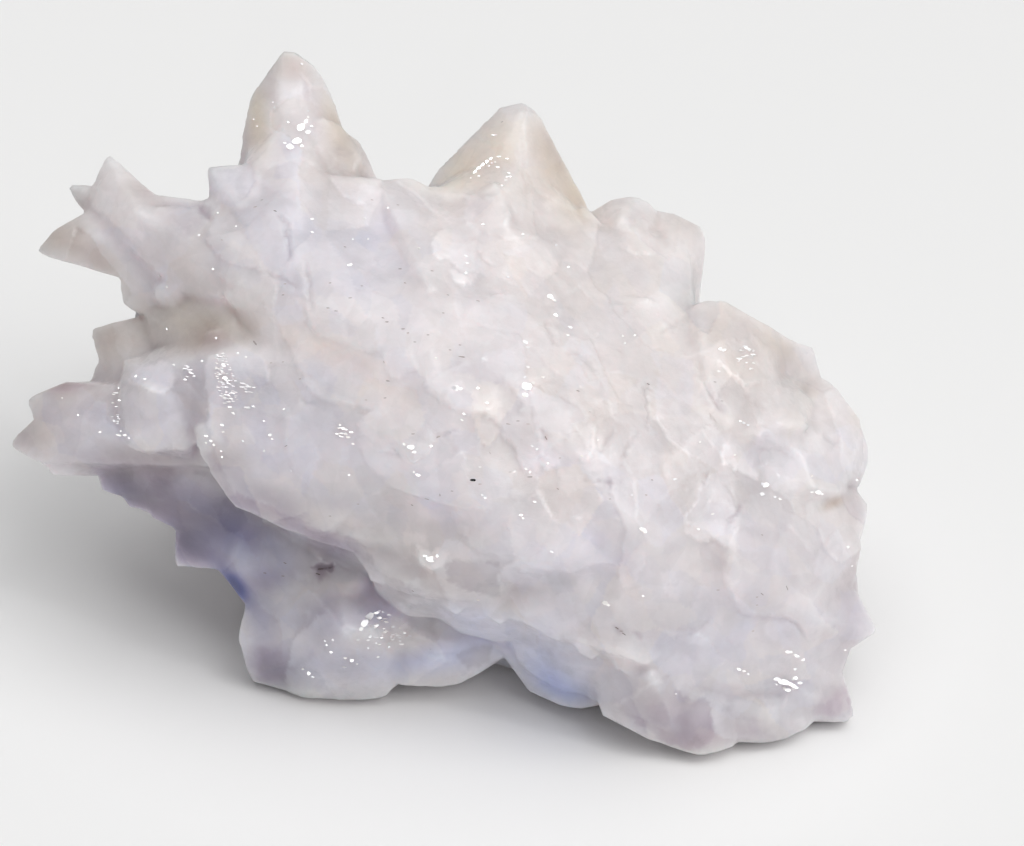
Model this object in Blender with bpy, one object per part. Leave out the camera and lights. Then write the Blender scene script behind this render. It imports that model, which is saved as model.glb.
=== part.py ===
"""Cave calcite cluster, modelled in metres with +Z up.

The cluster is one grown mass. Every crystal is laid out on a drawing sheet that leans back, and is drawn as the
convex solid round its own corner points. The solids are then joined into one body, and the body is cut off flat
where it was broken from the cave wall, so that it lies on the cut.

Sheet coordinates: ACROSS to the right and DOWN the sheet, in units of UNIT millimetres, and OUT in millimetres off
the sheet toward the viewing point. The viewing point is VIEW_DISTANCE in front of the sheet.
"""
import math
import random

import bmesh
import bpy
from mathutils import Matrix, Vector
from mathutils.bvhtree import BVHTree

# ---------------------------------------------------------------- driving dimensions
MM = 0.001
UNIT = 0.16                 # one sheet unit in mm, so 862 units across make 138 mm
LEAN = math.radians(35.0)   # how far the line of sight looks down
VIEW_DISTANCE = 420.0       # mm from the viewing point to the sheet
AIM_ACROSS, AIM_DOWN = 512.0, 423.0
AIM_HEIGHT = 41.0           # mm from the cut base up to the sheet's aim point
SHIFT_X, SHIFT_Y = 11.0, -8.0  # mm, brings the middle of the footprint to the origin

CHAMFER = 1.9               # mm that an inner plate's flank spreads outward
CHAMFER_DROP = 2.0          # mm that it falls meanwhile
SEED = 43                   # of the small irregularities and of the crystals over the hidden sides
HOME = (0.508, -3.514)         # mm, the last move, which puts the origin under the middle of the whole cluster
RIM_GROWTH = 1.6            # sheet units added round the outer edge, for the points' rounded tips
GROUND_COLUMNS, GROUND_ROWS = 15, 13  # cells of the ground that the plates stand on
RELIEF = 0.6                # how much of the tables' lift the plates of the main mass take
GROUND_DROP = 1.2           # mm that the ground lies under the surface that they are laid on

COLOUR = (0.80, 0.775, 0.785, 1.0)
ROUGHNESS = 0.32

RIGHT = Vector((1.0, 0.0, 0.0))
UP = Vector((0.0, math.sin(LEAN), math.cos(LEAN)))
TOWARD = Vector((0.0, -math.cos(LEAN), math.sin(LEAN)))


def at(across, down, out):
    """A sheet point, in mm, in the part's own frame."""
    near = 1.0 - out / VIEW_DISTANCE
    u = (across - AIM_ACROSS) * UNIT * near
    v = (AIM_DOWN - down) * UNIT * near
    p = u * RIGHT + v * UP + out * TOWARD
    return Vector((p.x + SHIFT_X, p.y + SHIFT_Y, p.z + AIM_HEIGHT))


# ---------------------------------------------------------------- the two surfaces that crystals are laid on
# Heights OUT of the sheet, in mm, at chosen places: the main shingled mass, and the lower crystals round its foot
# and left side. Between them the height is a distance-weighted mean.
MASS = [
    (215, 400, 14), (240, 480, 15), (300, 515, 16), (300, 430, 19), (350, 450, 22), (430, 460, 26), (450, 400, 26),
    (450, 330, 20), (500, 540, 24), (430, 540, 18), (370, 550, 13), (600, 600, 22), (620, 500, 24), (560, 400, 22),
    (640, 655, 16), (560, 650, 8), (500, 620, 12), (720, 560, 18), (780, 600, 12), (850, 600, 1), (865, 450, -8),
    (800, 480, 5), (700, 420, 12), (750, 350, -2), (690, 300, -4), (700, 240, -15), (640, 210, -14), (600, 300, 5),
    (500, 250, 3), (430, 195, -7), (340, 190, -3), (300, 250, 9), (330, 310, 16), (240, 230, 4), (220, 170, -4),
    (250, 310, 11), (700, 745, 7), (780, 730, 4), (620, 700, 9), (845, 700, 0), (590, 215, -12), (810, 360, -10),
    (280, 165, -3),
]
FOOT = [
    (40, 250, -10), (105, 165, -12), (160, 235, -3), (200, 260, 2), (180, 300, -3), (13, 445, -6), (60, 440, -2),
    (130, 430, 4), (200, 440, 8), (150, 390, 4), (100, 345, -8), (190, 330, -6), (105, 480, -10), (180, 560, -8),
    (200, 500, -3), (280, 560, 2), (340, 590, 4), (250, 625, -3), (345, 625, 6), (345, 695, -5), (270, 690, -7),
    (450, 650, 0), (450, 685, -4), (410, 610, 0), (520, 690, -3), (560, 660, 3), (590, 705, 0), (300, 530, 4),
]


def height(markers, across, down):
    top = bottom = 0.0
    for x, y, w in markers:
        d2 = (across - x) ** 2 + (down - y) ** 2 + 120.0
        k = 1.0 / (d2 * d2)
        top += k * w
        bottom += k
    return top / bottom


# ---------------------------------------------------------------- crystals: (depth, pinch, corner points)
# depth: mm that the crystal runs back into the cluster. pinch: how narrow its buried end is.
# A corner is (across, down, lift): lift is mm above the surface that the crystal is laid on.
MASS_CRYSTALS = [
    # upper left facets
    (16, 0.7, [(208, 202, 0), (240, 190, 1), (288, 205, 2), (292, 262, 4), (262, 272, 4), (225, 256, 3.5), (208, 232, 2)]),
    (12, 0.7, [(214, 250, 1), (262, 274, 1), (300, 290, 2), (286, 306, 2.5), (250, 294, 2), (222, 274, 1)]),
    (14, 0.7, [(262, 172, 0), (300, 160, 1), (332, 182, 1), (346, 232, 1), (300, 246, 2.5), (266, 216, 2)]),
    (12, 0.6, [(209, 168, 0), (240, 167, 0), (262, 172, 0), (262, 200, 1), (240, 206, 1), (212, 205, 0), (225, 186, 2)]),
    (14, 0.7, [(330, 176, 0), (378, 181, 0), (400, 200, 0), (398, 240, 1), (350, 236, 2), (338, 205, 1.5)]),
    # the big lit face and the layers stepping down from it
    (18, 0.7, [(290, 236, 1.5), (345, 216, 1), (396, 226, 0), (436, 262, 0), (442, 320, 1), (420, 366, 4), (386, 373, 5),
               (345, 348, 5), (312, 325, 4.2), (296, 282, 3)]),
    (12, 0.7, [(245, 258, 1), (294, 266, 1), (314, 322, 3), (286, 331, 3), (262, 302, 3)]),
    (12, 0.7, [(222, 270, 0), (262, 302, 2), (286, 331, 2.5), (312, 338, 2.5), (300, 352, 1), (262, 336, 1), (236, 302, 0)]),
    (14, 0.7, [(288, 330, 0), (345, 346, 0), (386, 373, 1), (381, 405, 2.5), (345, 409, 3), (320, 399, 3), (298, 376, 2)]),
    (14, 0.7, [(384, 370, 1), (420, 376, 2), (456, 400, 2), (452, 440, 1.5), (400, 440, 3), (362, 429, 3.5), (365, 404, 3)]),
    (16, 0.7, [(370, 434, 2), (420, 418, 1), (480, 414, 0), (516, 440, 0), (523, 500, 2), (505, 518, 4), (478, 512, 4.5),
               (430, 500, 4.5), (390, 486, 4.5), (367, 463, 4)]),
    (10, 0.6, [(400, 434, 4), (428, 430, 3.5), (431, 452, 4.5), (412, 463, 5), (398, 450, 4.5)]),
    # the broad front plate with its rounded free edge
    (18, 0.75, [(207, 357, 0), (222, 343, 0), (250, 341, 1), (302, 352, 1), (370, 402, 1), (392, 470, 0.5), (380, 506, 0),
                (350, 528, 1), (325, 531, 2), (298, 523, 2), (268, 504, 2), (240, 494, 1.5), (222, 468, 1), (212, 438, 0.5),
                (207, 400, 0)]),
    (9, 0.7, [(286, 415, 2), (330, 400, 2), (384, 430, 1.5), (392, 478, 2.5), (366, 497, 4), (345, 495, 4), (318, 502, 4.2),
              (307, 489, 4), (288, 450, 3)]),
    # bands under the front plate
    (14, 0.7, [(268, 498, -2), (330, 524, -1), (385, 512, 0), (424, 520, 0.5), (420, 546, 1), (380, 552, 0.5), (336, 538, -1),
               (290, 524, -2)]),
    (14, 0.7, [(345, 532, -2), (420, 530, 0), (500, 560, 0), (505, 602, 2), (460, 599, 2), (410, 583, 2), (385, 577, 1.5),
               (367, 553, 0)]),
    (12, 0.7, [(390, 514, 0), (450, 508, 0), (500, 546, 1), (500, 592, 3), (450, 566, 2), (420, 560, 3), (398, 546, 2)]),
    (8, 0.6, [(416, 548, 3), (445, 545, 3), (447, 562, 4.5), (430, 571, 5), (418, 562, 4.5)]),
    # middle plates
    (12, 0.7, [(470, 508, 1), (560, 494, 1), (616, 505, 1), (626, 530, 2), (622, 560, 3), (600, 564, 3.5), (565, 570, 4),
               (528, 570, 4), (500, 556, 4), (468, 545, 3.5)]),
    (14, 0.7, [(602, 470, 1), (660, 460, 1), (694, 474, 1), (698, 540, 1), (690, 590, 1), (640, 588, 3), (634, 530, 4.8),
               (626, 556, 3.5), (608, 500, 3)]),
    (14, 0.7, [(478, 306, 0.5), (545, 300, 0.5), (600, 330, 0.3), (598, 352, 0.6), (548, 372, 1.2), (512, 398, 2.6),
               (497, 380, 2), (486, 345, 1.6)]),
    (12, 0.7, [(545, 352, 0), (600, 346, 0.5), (640, 372, 1), (645, 402, 1.6), (600, 404, 1.2), (548, 410, 1)]),
    (12, 0.7, [(500, 402, 0.5), (548, 392, 0.6), (606, 402, 0.5), (622, 426, 1), (604, 462, 2.6), (566, 470, 2.8),
               (530, 466, 2.6), (505, 432, 2.2)]),
    (12, 0.7, [(518, 462, 1), (570, 466, 0.8), (608, 470, 0.8), (612, 506, 2), (566, 518, 2.8), (522, 508, 2.6)]),
    (12, 0.7, [(428, 318, 0.8), (476, 300, 0.6), (500, 350, 1), (514, 402, 2), (512, 424, 2.6), (470, 412, 2.8),
               (448, 400, 2.8), (424, 384, 2.4)]),
    (14, 0.7, [(378, 182, 0), (411, 180, 0), (436, 192, 0), (470, 226, 0), (474, 280, 1), (430, 290, 1.6), (396, 240, 1.2)]),
    (10, 0.6, [(432, 238, 2), (446, 228, 2.4), (474, 246, 2), (483, 270, 2.6), (462, 286, 3), (440, 262, 2.6)]),
    (10, 0.6, [(468, 196, 1), (500, 193, 1), (508, 212, 1), (507, 232, 1.6), (486, 240, 2), (466, 226, 1.8)]),
    (14, 0.7, [(504, 226, 0.6), (560, 240, 0.4), (570, 290, 0.8), (545, 306, 1.6), (500, 296, 1.6), (478, 254, 1)]),
    (14, 0.7, [(436, 190, 0), (470, 194, 0.6), (505, 200, 0), (575, 232, 0), (560, 262, 0.8), (490, 250, 0.6)]),
    (14, 0.7, [(556, 222, 0), (592, 216, 0), (640, 262, 0), (656, 306, 0.6), (640, 344, 1.4), (600, 350, 1.6), (560, 304, 1)]),
    (14, 0.7, [(640, 300, 0), (690, 314, 0), (704, 352, 0), (700, 424, 1), (688, 452, 2), (652, 430, 1.6), (646, 384, 1),
               (604, 352, 0.6)]),
    (12, 0.7, [(608, 400, 0.6), (648, 396, 0.6), (662, 440, 1), (660, 468, 1.6), (612, 474, 2.2), (600, 440, 1.8)]),
    (12, 0.7, [(660, 430, 1), (704, 424, 0.8), (740, 446, 1), (762, 484, 1.6), (735, 506, 2.4), (694, 492, 2), (662, 470, 1.6)]),
    (8, 0.6, [(722, 444, 2), (738, 442, 3), (760, 474, 3), (742, 474, 3.4), (724, 464, 3)]),
    # lower middle
    (14, 0.7, [(500, 600, 1), (522, 584, 0), (600, 580, 1), (662, 600, 1), (664, 650, 2.5), (645, 663, 4), (600, 650, 4),
               (550, 632, 3.5), (505, 616, 3)]),
    (12, 0.7, [(530, 628, -3), (600, 648, -1), (668, 655, 0), (700, 678, 1), (650, 682, 1), (600, 672, 0), (555, 656, -1)]),
    (14, 0.7, [(660, 560, 1), (700, 500, 1), (740, 508, 1), (746, 600, 1), (730, 642, 2), (690, 642, 3), (662, 612, 3)]),
    (14, 0.7, [(745, 500, 1), (790, 498, 1), (813, 540, 1), (812, 590, 1), (795, 613, 2), (760, 616, 3), (735, 600, 3),
               (727, 555, 3), (735, 520, 2.5), (768, 550, 5.5)]),
    (12, 0.7, [(690, 630, 1), (740, 606, 1), (800, 610, 1), (822, 650, 1), (800, 690, 2), (740, 690, 3), (700, 672, 2.5)]),
    (12, 0.7, [(758, 432, 0.5), (796, 420, 1), (806, 460, 1.5), (812, 492, 1.5), (780, 500, 2), (758, 486, 1.5)]),
    # right rim
    (16, 0.6, [(693, 308, 0), (705, 303, 0), (724, 302, 0), (742, 313, 0), (778, 334, 0), (784, 376, 1), (766, 420, 2.5),
               (730, 426, 3), (702, 386, 2), (738, 352, 4.5)]),
    (14, 0.6, [(774, 333, 0), (788, 341, 0), (796, 349, 0), (810, 349, 0), (814, 356, 0), (818, 376, 0), (806, 406, 1.5),
               (782, 400, 1)]),
    (16, 0.55, [(790, 392, 0), (820, 378, 0), (832, 384, 0), (843, 406, 0), (858, 420, 0), (862, 440, 0), (860, 470, 1),
                (838, 492, 2), (812, 488, 2.5), (794, 450, 2), (828, 428, 6.5)]),
    (12, 0.55, [(838, 404, -2), (858, 419, -2), (866, 448, -2), (867, 461, -2), (858, 486, -2), (840, 490, -2), (836, 440, 1)]),
    (14, 0.55, [(812, 498, 0), (838, 488, 0), (857, 494, 0), (866, 508, 0), (865, 519, 0), (858, 537, 0), (832, 560, 2),
                (808, 545, 2.5)]),
    (14, 0.55, [(806, 548, 0), (857, 536, 0), (860, 548, 0), (856, 561, 0), (853, 580, 0), (846, 600, 0), (806, 604, 2),
                (822, 570, 4)]),
    (14, 0.55, [(812, 590, 0), (852, 588, 0), (859, 600, 0), (865, 612, -1), (874, 626, -1), (873, 632, -1), (860, 641, 0),
                (850, 646, 0), (815, 642, 2), (792, 612, 2), (832, 620, 4)]),
    (12, 0.55, [(828, 560, -2), (856, 560, -3), (857, 590, -3), (846, 616, -2), (826, 600, 0)]),
    (14, 0.55, [(796, 636, 0), (850, 644, 0), (847, 656, 0), (841, 670, 0), (826, 690, 1), (790, 682, 2.5), (780, 656, 2)]),
    (14, 0.55, [(800, 672, 0), (840, 668, 0), (844, 682, 0), (850, 700, 0), (852, 715, 0), (846, 719, 0), (822, 720, 0),
                (782, 712, 2), (790, 684, 3)]),
    # bottom right
    (12, 0.6, [(596, 690, -1), (650, 672, 1), (690, 690, 2), (692, 735, 0), (665, 743, -1), (650, 738, -1), (626, 723, -1),
               (604, 714, -2)]),
    (12, 0.6, [(652, 722, -1), (688, 690, 1), (722, 700, 1.5), (732, 745, 0), (712, 751, 0), (699, 753, 0), (684, 749, -1),
               (662, 742, -1)]),
    (12, 0.6, [(704, 702, 1), (760, 694, 1.5), (800, 700, 1), (812, 722, 0), (803, 729, 0), (783, 738, 0), (765, 741, 0),
               (738, 741, 0), (714, 736, 1)]),
    (10, 0.6, [(622, 676, 1), (652, 674, 2.5), (684, 716, 2.5), (676, 734, 1.5), (640, 716, 1)]),
]

FOOT_CRYSTALS = [
    # upper left points
    (13, 0.45, [(96, 188, 0), (102, 170, 0), (108, 158, 0), (112, 158, 0), (125, 172, 0), (141, 187, 0), (154, 196, 0),
                (168, 214, 1), (180, 262, 1), (165, 280, 2), (145, 256, 2), (124, 232, 1), (91, 196, 0), (140, 215, 4.5)]),
    (14, 0.5, [(150, 196, 0), (182, 202, 0), (196, 208, 0), (214, 204, 0), (228, 250, 0), (222, 300, 0), (185, 305, 1),
               (166, 284, 3), (146, 250, 2), (185, 245, 3)]),
    (8, 0.5, [(156, 288, 3), (166, 280, 4), (180, 284, 4), (182, 298, 3.5), (170, 304, 3.5), (158, 300, 2.5)]),
    (9, 0.45, [(70, 188, -1), (72, 185, -1), (86, 187, -1), (100, 189, -1), (116, 205, -1), (100, 222, -1), (78, 203, -1)]),
    (13, 0.45, [(40, 251, 0), (43, 246, 0), (56, 232, 0), (86, 214, 0), (104, 206, -1), (142, 244, 0), (156, 276, 0),
                (120, 277, 0), (99, 262, 1), (62, 256, 0), (47, 255, 0), (92, 240, 3.5)]),
    (11, 0.5, [(122, 283, 0), (140, 266, 0), (176, 272, 1), (190, 296, 0), (182, 306, 0), (166, 313, 0), (140, 313, 0),
               (125, 303, 0), (127, 292, 0)]),
    # the recess and the crystals that reach out of it
    (12, 0.5, [(93, 334, 0), (96, 329, 0), (106, 328, 0), (134, 330, 0), (152, 323, 0), (200, 305, 0), (240, 310, -1),
               (245, 345, -2), (180, 366, -1), (120, 372, 0), (101, 362, 0), (98, 348, 0)]),
    (10, 0.5, [(93, 379, 0), (97, 368, 0), (104, 359, 0), (132, 352, 0), (152, 380, 0), (130, 396, 0), (99, 386, 0)]),
    (14, 0.5, [(30, 401, 0), (36, 397, 0), (49, 391, 0), (66, 384, 0), (98, 383, 0), (126, 386, 1), (132, 420, 1),
               (82, 428, 1), (38, 421, 0), (80, 402, 3)]),
    (14, 0.5, [(13, 445, 0), (20, 434, 0), (38, 419, 0), (82, 396, 1), (150, 380, 1), (214, 394, 0), (224, 440, 0),
               (216, 466, 0), (110, 471, 0), (42, 461, 0), (25, 453, 0), (100, 435, 4)]),
    (12, 0.6, [(126, 362, 4), (168, 358, 4), (194, 372, 5), (202, 418, 3), (184, 448, 4), (138, 451, 4), (122, 432, 2),
               (118, 398, 3), (150, 392, 8), (178, 402, 7.5)]),
    (9, 0.5, [(47, 463, -2), (53, 473, -2), (62, 474, -2), (86, 474, -2), (98, 471, -2), (132, 470, -3), (120, 452, -2),
              (60, 456, -2)]),
    # the shadowed shelf with its row of teeth
    (11, 0.5, [(103, 470, 0), (104, 484, 0), (103, 489, 0), (118, 494, 0), (160, 500, 1), (230, 500, 0), (230, 462, -2),
               (140, 462, -1)]),
    (11, 0.5, [(116, 480, 0), (126, 499, 0), (131, 506, 0), (141, 508, 0), (156, 511, 0), (200, 512, 1), (250, 500, -1),
               (190, 470, 0)]),
    (12, 0.5, [(154, 505, 0), (153, 516, 0), (165, 520, 0), (179, 528, 0), (225, 532, 1), (270, 500, -1), (200, 480, 0)]),
    (12, 0.5, [(178, 526, 0), (183, 541, 0), (176, 560, 0), (180, 565, 0), (206, 566, 0), (219, 568, 0), (270, 560, 0),
               (300, 520, 0), (210, 505, 1)]),
    (14, 0.6, [(216, 566, 0), (228, 580, 0), (240, 592, 0), (249, 604, 0), (290, 600, 0), (360, 585, 1), (380, 560, -1),
               (330, 520, 0), (250, 500, 0), (240, 545, 2)]),
    (14, 0.6, [(230, 490, 0), (330, 520, 1), (376, 560, 1), (350, 600, 0), (290, 590, 1), (230, 550, 1)]),
    # rounded blocks at the bottom left
    (14, 0.6, [(241, 641, 0), (241, 630, 0), (248, 606, 0), (262, 590, 0), (312, 594, 0), (322, 640, 1), (300, 672, 1),
               (262, 676, 0), (250, 671, 0), (280, 625, 3)]),
    (12, 0.6, [(257, 654, -2), (250, 673, -1), (255, 680, -1), (265, 683, -1), (284, 687, -1), (296, 691, 0), (300, 650, 1)]),
    (16, 0.6, [(286, 660, 0), (290, 636, 1), (304, 610, 1), (342, 598, 1), (386, 606, 0), (403, 640, 0), (402, 672, 0),
               (386, 694, 0), (368, 698, 0), (340, 698, 0), (306, 696, 0), (289, 691, 0), (345, 628, 6), (330, 664, 4.5),
               (372, 632, 5)]),
    (14, 0.6, [(396, 642, 0), (450, 634, 0), (490, 640, 0), (502, 656, 0), (476, 673, 0), (458, 682, 0), (444, 684, 0),
               (420, 685, 0), (403, 684, 0), (394, 676, 0), (436, 654, 3)]),
    (12, 0.7, [(370, 575, -1), (500, 592, 0), (510, 650, -1), (440, 660, 0), (370, 640, 0)]),
    (14, 0.6, [(504, 640, 0), (540, 622, 0), (604, 650, 0), (604, 703, 0), (576, 707, 0), (560, 704, 0), (545, 696, 0),
               (530, 690, 0), (520, 674, 0), (506, 657, 0), (560, 668, 2)]),
]

# crystals of the top rim, laid flat on the sheet's own height: (middle out, half thickness, outline, ridge points)
TOP_CRYSTALS = [
    (-12, 8, [(240, 170), (242, 150), (245, 130), (252, 97), (258, 88), (268, 78), (276, 67), (284, 52), (292, 52),
              (301, 58), (314, 67), (321, 78), (326, 93), (333, 103), (338, 118), (344, 140), (348, 200), (262, 205)],
     [(278, 88, 4), (300, 92, 4.5), (312, 130, 6), (285, 150, 7), (300, 190, 7), (262, 140, 4)]),
    (-10, 6, [(322, 150), (334, 126), (342, 130), (352, 137), (359, 144), (364, 154), (367, 164), (371, 175), (380, 190),
              (374, 220), (330, 215)], [(346, 152, 5), (352, 185, 4)]),
    (-17, 11, [(430, 196), (434, 178), (440, 168), (460, 151), (480, 136), (487, 128), (495, 117), (499, 111), (507, 109),
               (512, 106), (520, 105), (527, 106), (533, 111), (541, 121), (551, 141), (562, 163), (574, 183), (582, 200),
               (590, 216), (560, 260), (470, 240)],
     [(522, 114, 4), (527, 165, 9), (535, 215, 10), (490, 165, 8), (465, 200, 7)]),
    (-18, 10, [(588, 216), (597, 212), (605, 205), (614, 201), (631, 198), (641, 200), (649, 205), (656, 212), (668, 240),
               (660, 300), (610, 300), (586, 250)], [(622, 216, 7), (640, 236, 9), (612, 240, 9)]),
    (-19, 10, [(648, 214), (663, 212), (674, 215), (686, 221), (700, 228), (704, 238), (704, 246), (699, 266), (695, 286),
               (695, 312), (660, 318), (644, 262)], [(672, 236, 7), (676, 275, 9), (655, 250, 8)]),
]

# inside this sheet outline nothing shows against the background, so chamfers and hidden crystals stay within it
COVER = [(252, 196), (430, 212), (560, 236), (650, 300), (700, 322), (770, 368), (822, 440), (826, 520), (832, 600),
         (818, 676), (780, 700), (700, 722), (640, 694), (560, 672), (508, 640), (470, 650), (400, 662), (300, 664),
         (262, 640), (272, 600), (236, 548), (208, 500), (150, 452), (60, 446), (120, 392), (140, 340), (180, 318),
         (160, 272), (120, 232), (118, 190), (150, 214), (214, 232)]

# the part of the sheet that the plates' ground fills
GROUND = [(214, 176), (300, 176), (400, 190), (500, 214), (586, 236), (640, 318), (700, 322), (770, 360), (808, 430),
          (816, 520), (822, 600), (808, 668), (790, 700), (704, 724), (640, 700), (560, 646), (500, 616), (410, 580),
          (340, 534), (250, 494), (216, 440), (212, 360), (240, 336), (214, 262)]

# dogtooth crystals over the hidden sides and back, in rows by elevation round the middle of the cluster
ROUND = (0.0, 6.0, 38.0)     # mm
ROWS = [                     # elevation, count, first and last heading in degrees (0 is +X, 90 is +Y), length, width, mm
    (-34, 11, -24, 204, 12, 15),
    (-16, 13, -30, 210, 14, 17),
    (2, 15, -22, 202, 15, 18),
    (20, 13, -8, 188, 15, 17),
    (38, 10, 6, 174, 13, 16),
    (56, 6, 30, 150, 11, 14),
]

# the solid heart of the cluster: sheet corners of its front, how far back it goes, and its foot
HEART = [  # across, down, mm below the plates
    (252, 200, 4), (330, 205, 4), (430, 215, 4), (540, 250, 5), (620, 270, 6), (670, 330, 7), (730, 400, 9), (770, 460, 9),
    (805, 560, 5), (800, 650, 4), (780, 700, 4), (700, 715, 4), (620, 680, 4), (520, 620, 4), (400, 575, 4), (300, 520, 4),
    (235, 460, 4), (232, 300, 4), (450, 420, 4), (560, 460, 4), (620, 540, 4), (350, 430, 4)]
HEART_BACK = -33.0
BASE = [(-31, 0), (-37, 12), (-32, 26), (-8, 33), (22, 33), (38, 18), (40, -4), (18, -8), (-6, -5)]  # mm, as shifted


# ---------------------------------------------------------------- crystal makers
def hull(points):
    bm = bmesh.new()
    for p in points:
        bm.verts.new(p * MM)
    done = bmesh.ops.convex_hull(bm, input=bm.verts, use_existing_faces=False)
    loose = [g for g in done["geom_interior"] + done["geom_unused"] if isinstance(g, bmesh.types.BMVert)]
    bmesh.ops.delete(bm, geom=list(set(loose)), context="VERTS")
    bmesh.ops.dissolve_limit(bm, angle_limit=math.radians(2.0), verts=bm.verts, edges=bm.edges)
    bmesh.ops.triangulate(bm, faces=bm.faces)
    bmesh.ops.recalc_face_normals(bm, faces=bm.faces)
    return bm


def centre(points):
    c = Vector((0.0, 0.0, 0.0))
    for p in points:
        c += p
    return c / len(points)


def inside(outline, x, y):
    odd = False
    for (x1, y1), (x2, y2) in zip(outline, outline[1:] + outline[:1]):
        if (y1 > y) != (y2 > y) and x < (x2 - x1) * (y - y1) / (y2 - y1) + x1:
            odd = not odd
    return odd


def plate(markers, depth, pinch, corners):
    """A crystal whose seen side is drawn. Inner edges are chamfered, and it narrows as it runs back."""
    cx = sum(c[0] for c in corners) / len(corners)
    cy = sum(c[1] for c in corners) / len(corners)
    mean = sum(height(markers, x, y) for x, y, _ in corners) / len(corners)
    points = []
    for x, y, lift in corners:
        if markers is MASS and lift > 0.0:
            lift *= RELIEF
        x, y, lift = x + rng.uniform(-0.4, 0.4), y + rng.uniform(-0.4, 0.4), lift + rng.uniform(-0.12, 0.12)
        w = height(markers, x, y)
        reach = math.hypot(x - cx, y - cy) + 0.001
        ux, uy = (x - cx) / reach, (y - cy) / reach
        if inside(COVER, x, y):
            points.append(at(x, y, w + lift))
            fx, fy = x + ux * CHAMFER / UNIT, y + uy * CHAMFER / UNIT
            if reach > 20 and inside(COVER, fx, fy):
                points.append(at(fx, fy, min(w, height(markers, fx, fy)) - CHAMFER_DROP))
        else:
            points.append(at(x + ux * RIM_GROWTH, y + uy * RIM_GROWTH, w + lift))
            points.append(at(cx + (x - cx) * 0.97, cy + (y - cy) * 0.97, w - 0.35 * depth))
        points.append(at(cx + (x - cx) * pinch, cy + (y - cy) * pinch, 0.5 * (w + mean) - depth))
    return hull(points)


def standing(middle, half, outline, ridge):
    """A crystal of the top rim: an outline at its middle, ridges in front and the same, mirrored, behind."""
    cx = sum(p[0] for p in outline) / len(outline)
    cy = sum(p[1] for p in outline) / len(outline)
    points = []
    for x, y in outline:
        reach = math.hypot(x - cx, y - cy)
        points.append(at(x + (x - cx) / reach * RIM_GROWTH, y + (y - cy) / reach * RIM_GROWTH, middle))
    for x, y, lift in ridge:
        points.append(at(x, y, middle + lift))
        points.append(at(x, y, middle - lift * half / 7.0))
    low = [p for p in outline if p[1] > max(q[1] for q in outline) - 45]
    for x, y in low:
        points.append(at(x, y + 25, middle - half))
    return hull(points)


def dogtooth(tip, root, width, twist):
    """A scalenohedron: a six-sided point on a zigzag belt, narrowing again toward its root."""
    axis = (tip - root)
    length = axis.length
    axis.normalize()
    side = axis.orthogonal().normalized()
    points = [tip + side * 0.4, tip - side * 0.4]
    for i in range(6):
        turn = Matrix.Rotation(twist + i * math.pi / 3.0, 3, axis)
        arm = turn @ side
        wide = 0.5 * width * (1.0 if i % 2 else 0.86)
        belt = root + axis * length * (0.50 if i % 2 else 0.38)
        points.append(belt + arm * wide)
        points.append(tip - axis * length * 0.16 + arm * wide * 0.28)
        points.append(root + arm * wide * 0.7)
    return hull(points)


def heart():
    points = []
    for x, y, drop in HEART:
        points.append(at(x, y, height(MASS, x, y) - drop))
        points.append(at(486 + (x - 486) * 0.66, 410 + (y - 410) * 0.66, HEART_BACK))
    for x, y in BASE:
        points.append(Vector((x, y, -3.0)))
        points.append(Vector((x * 1.04, y * 1.04, 7.0)))
    return hull(points)


def ground():
    """The grown mass between the plates: one slab whose face follows the surface that they are laid on."""
    bm = bmesh.new()
    bmesh.ops.create_grid(bm, x_segments=GROUND_COLUMNS, y_segments=GROUND_ROWS, size=0.5)
    for v in bm.verts:
        v.co = Vector((206.0 + (v.co.x + 0.5) * 628.0, 174.0 + (0.5 - v.co.y) * 562.0, 0.0))
    outside = [f for f in bm.faces if not all(inside(GROUND, v.co.x, v.co.y) for v in f.verts)]
    bmesh.ops.delete(bm, geom=outside, context="FACES")
    grown = bmesh.ops.extrude_face_region(bm, geom=bm.faces[:])
    back = {v for v in grown["geom"] if isinstance(v, bmesh.types.BMVert)}
    shake = random.Random(SEED + 1)
    for v in bm.verts:
        x, y = v.co.x, v.co.y
        w = height(MASS, x, y)
        if v in back:
            v.co = at(512 + (x - 512) * 0.8, 430 + (y - 430) * 0.8, w - 18.0) * MM
        else:
            v.co = at(x, y, w - GROUND_DROP + shake.uniform(-0.25, 0.25)) * MM
    bmesh.ops.triangulate(bm, faces=bm.faces)
    bmesh.ops.recalc_face_normals(bm, faces=bm.faces)
    return bm


def roots():
    """Solid wedges that carry the left and lower crystals, well behind their faces."""
    left = [at(x, y, w) for x, y, w in [
        (150, 230, -14), (215, 225, -14), (290, 260, -4), (300, 420, 2), (260, 480, 0), (150, 455, -10), (120, 420, -12),
        (160, 340, -16), (170, 250, -24), (300, 300, -30), (300, 450, -28), (170, 430, -22)]]
    shelf = [at(x, y, w) for x, y, w in [
        (195, 474, -9), (300, 480, 2), (380, 540, 3), (400, 600, -3), (300, 590, -4), (230, 550, -12), (240, 490, -22),
        (330, 500, -32), (420, 590, -24), (290, 570, -22)]]
    low = [at(x, y, w) for x, y, w in [
        (272, 604, -9), (330, 604, -3), (450, 610, -5), (470, 650, -6), (440, 664, -9), (340, 672, -10), (280, 660, -11),
        (290, 604, -26), (420, 600, -32), (460, 630, -28)]]
    right = [at(x, y, w) for x, y, w in [
        (500, 600, -2), (520, 645, -4), (560, 680, -3), (610, 690, 0), (640, 700, 2), (620, 620, 8), (500, 620, -26),
        (600, 650, -24), (620, 600, -30)]]
    return [hull(left), hull(shelf), hull(low), hull(right)]


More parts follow.
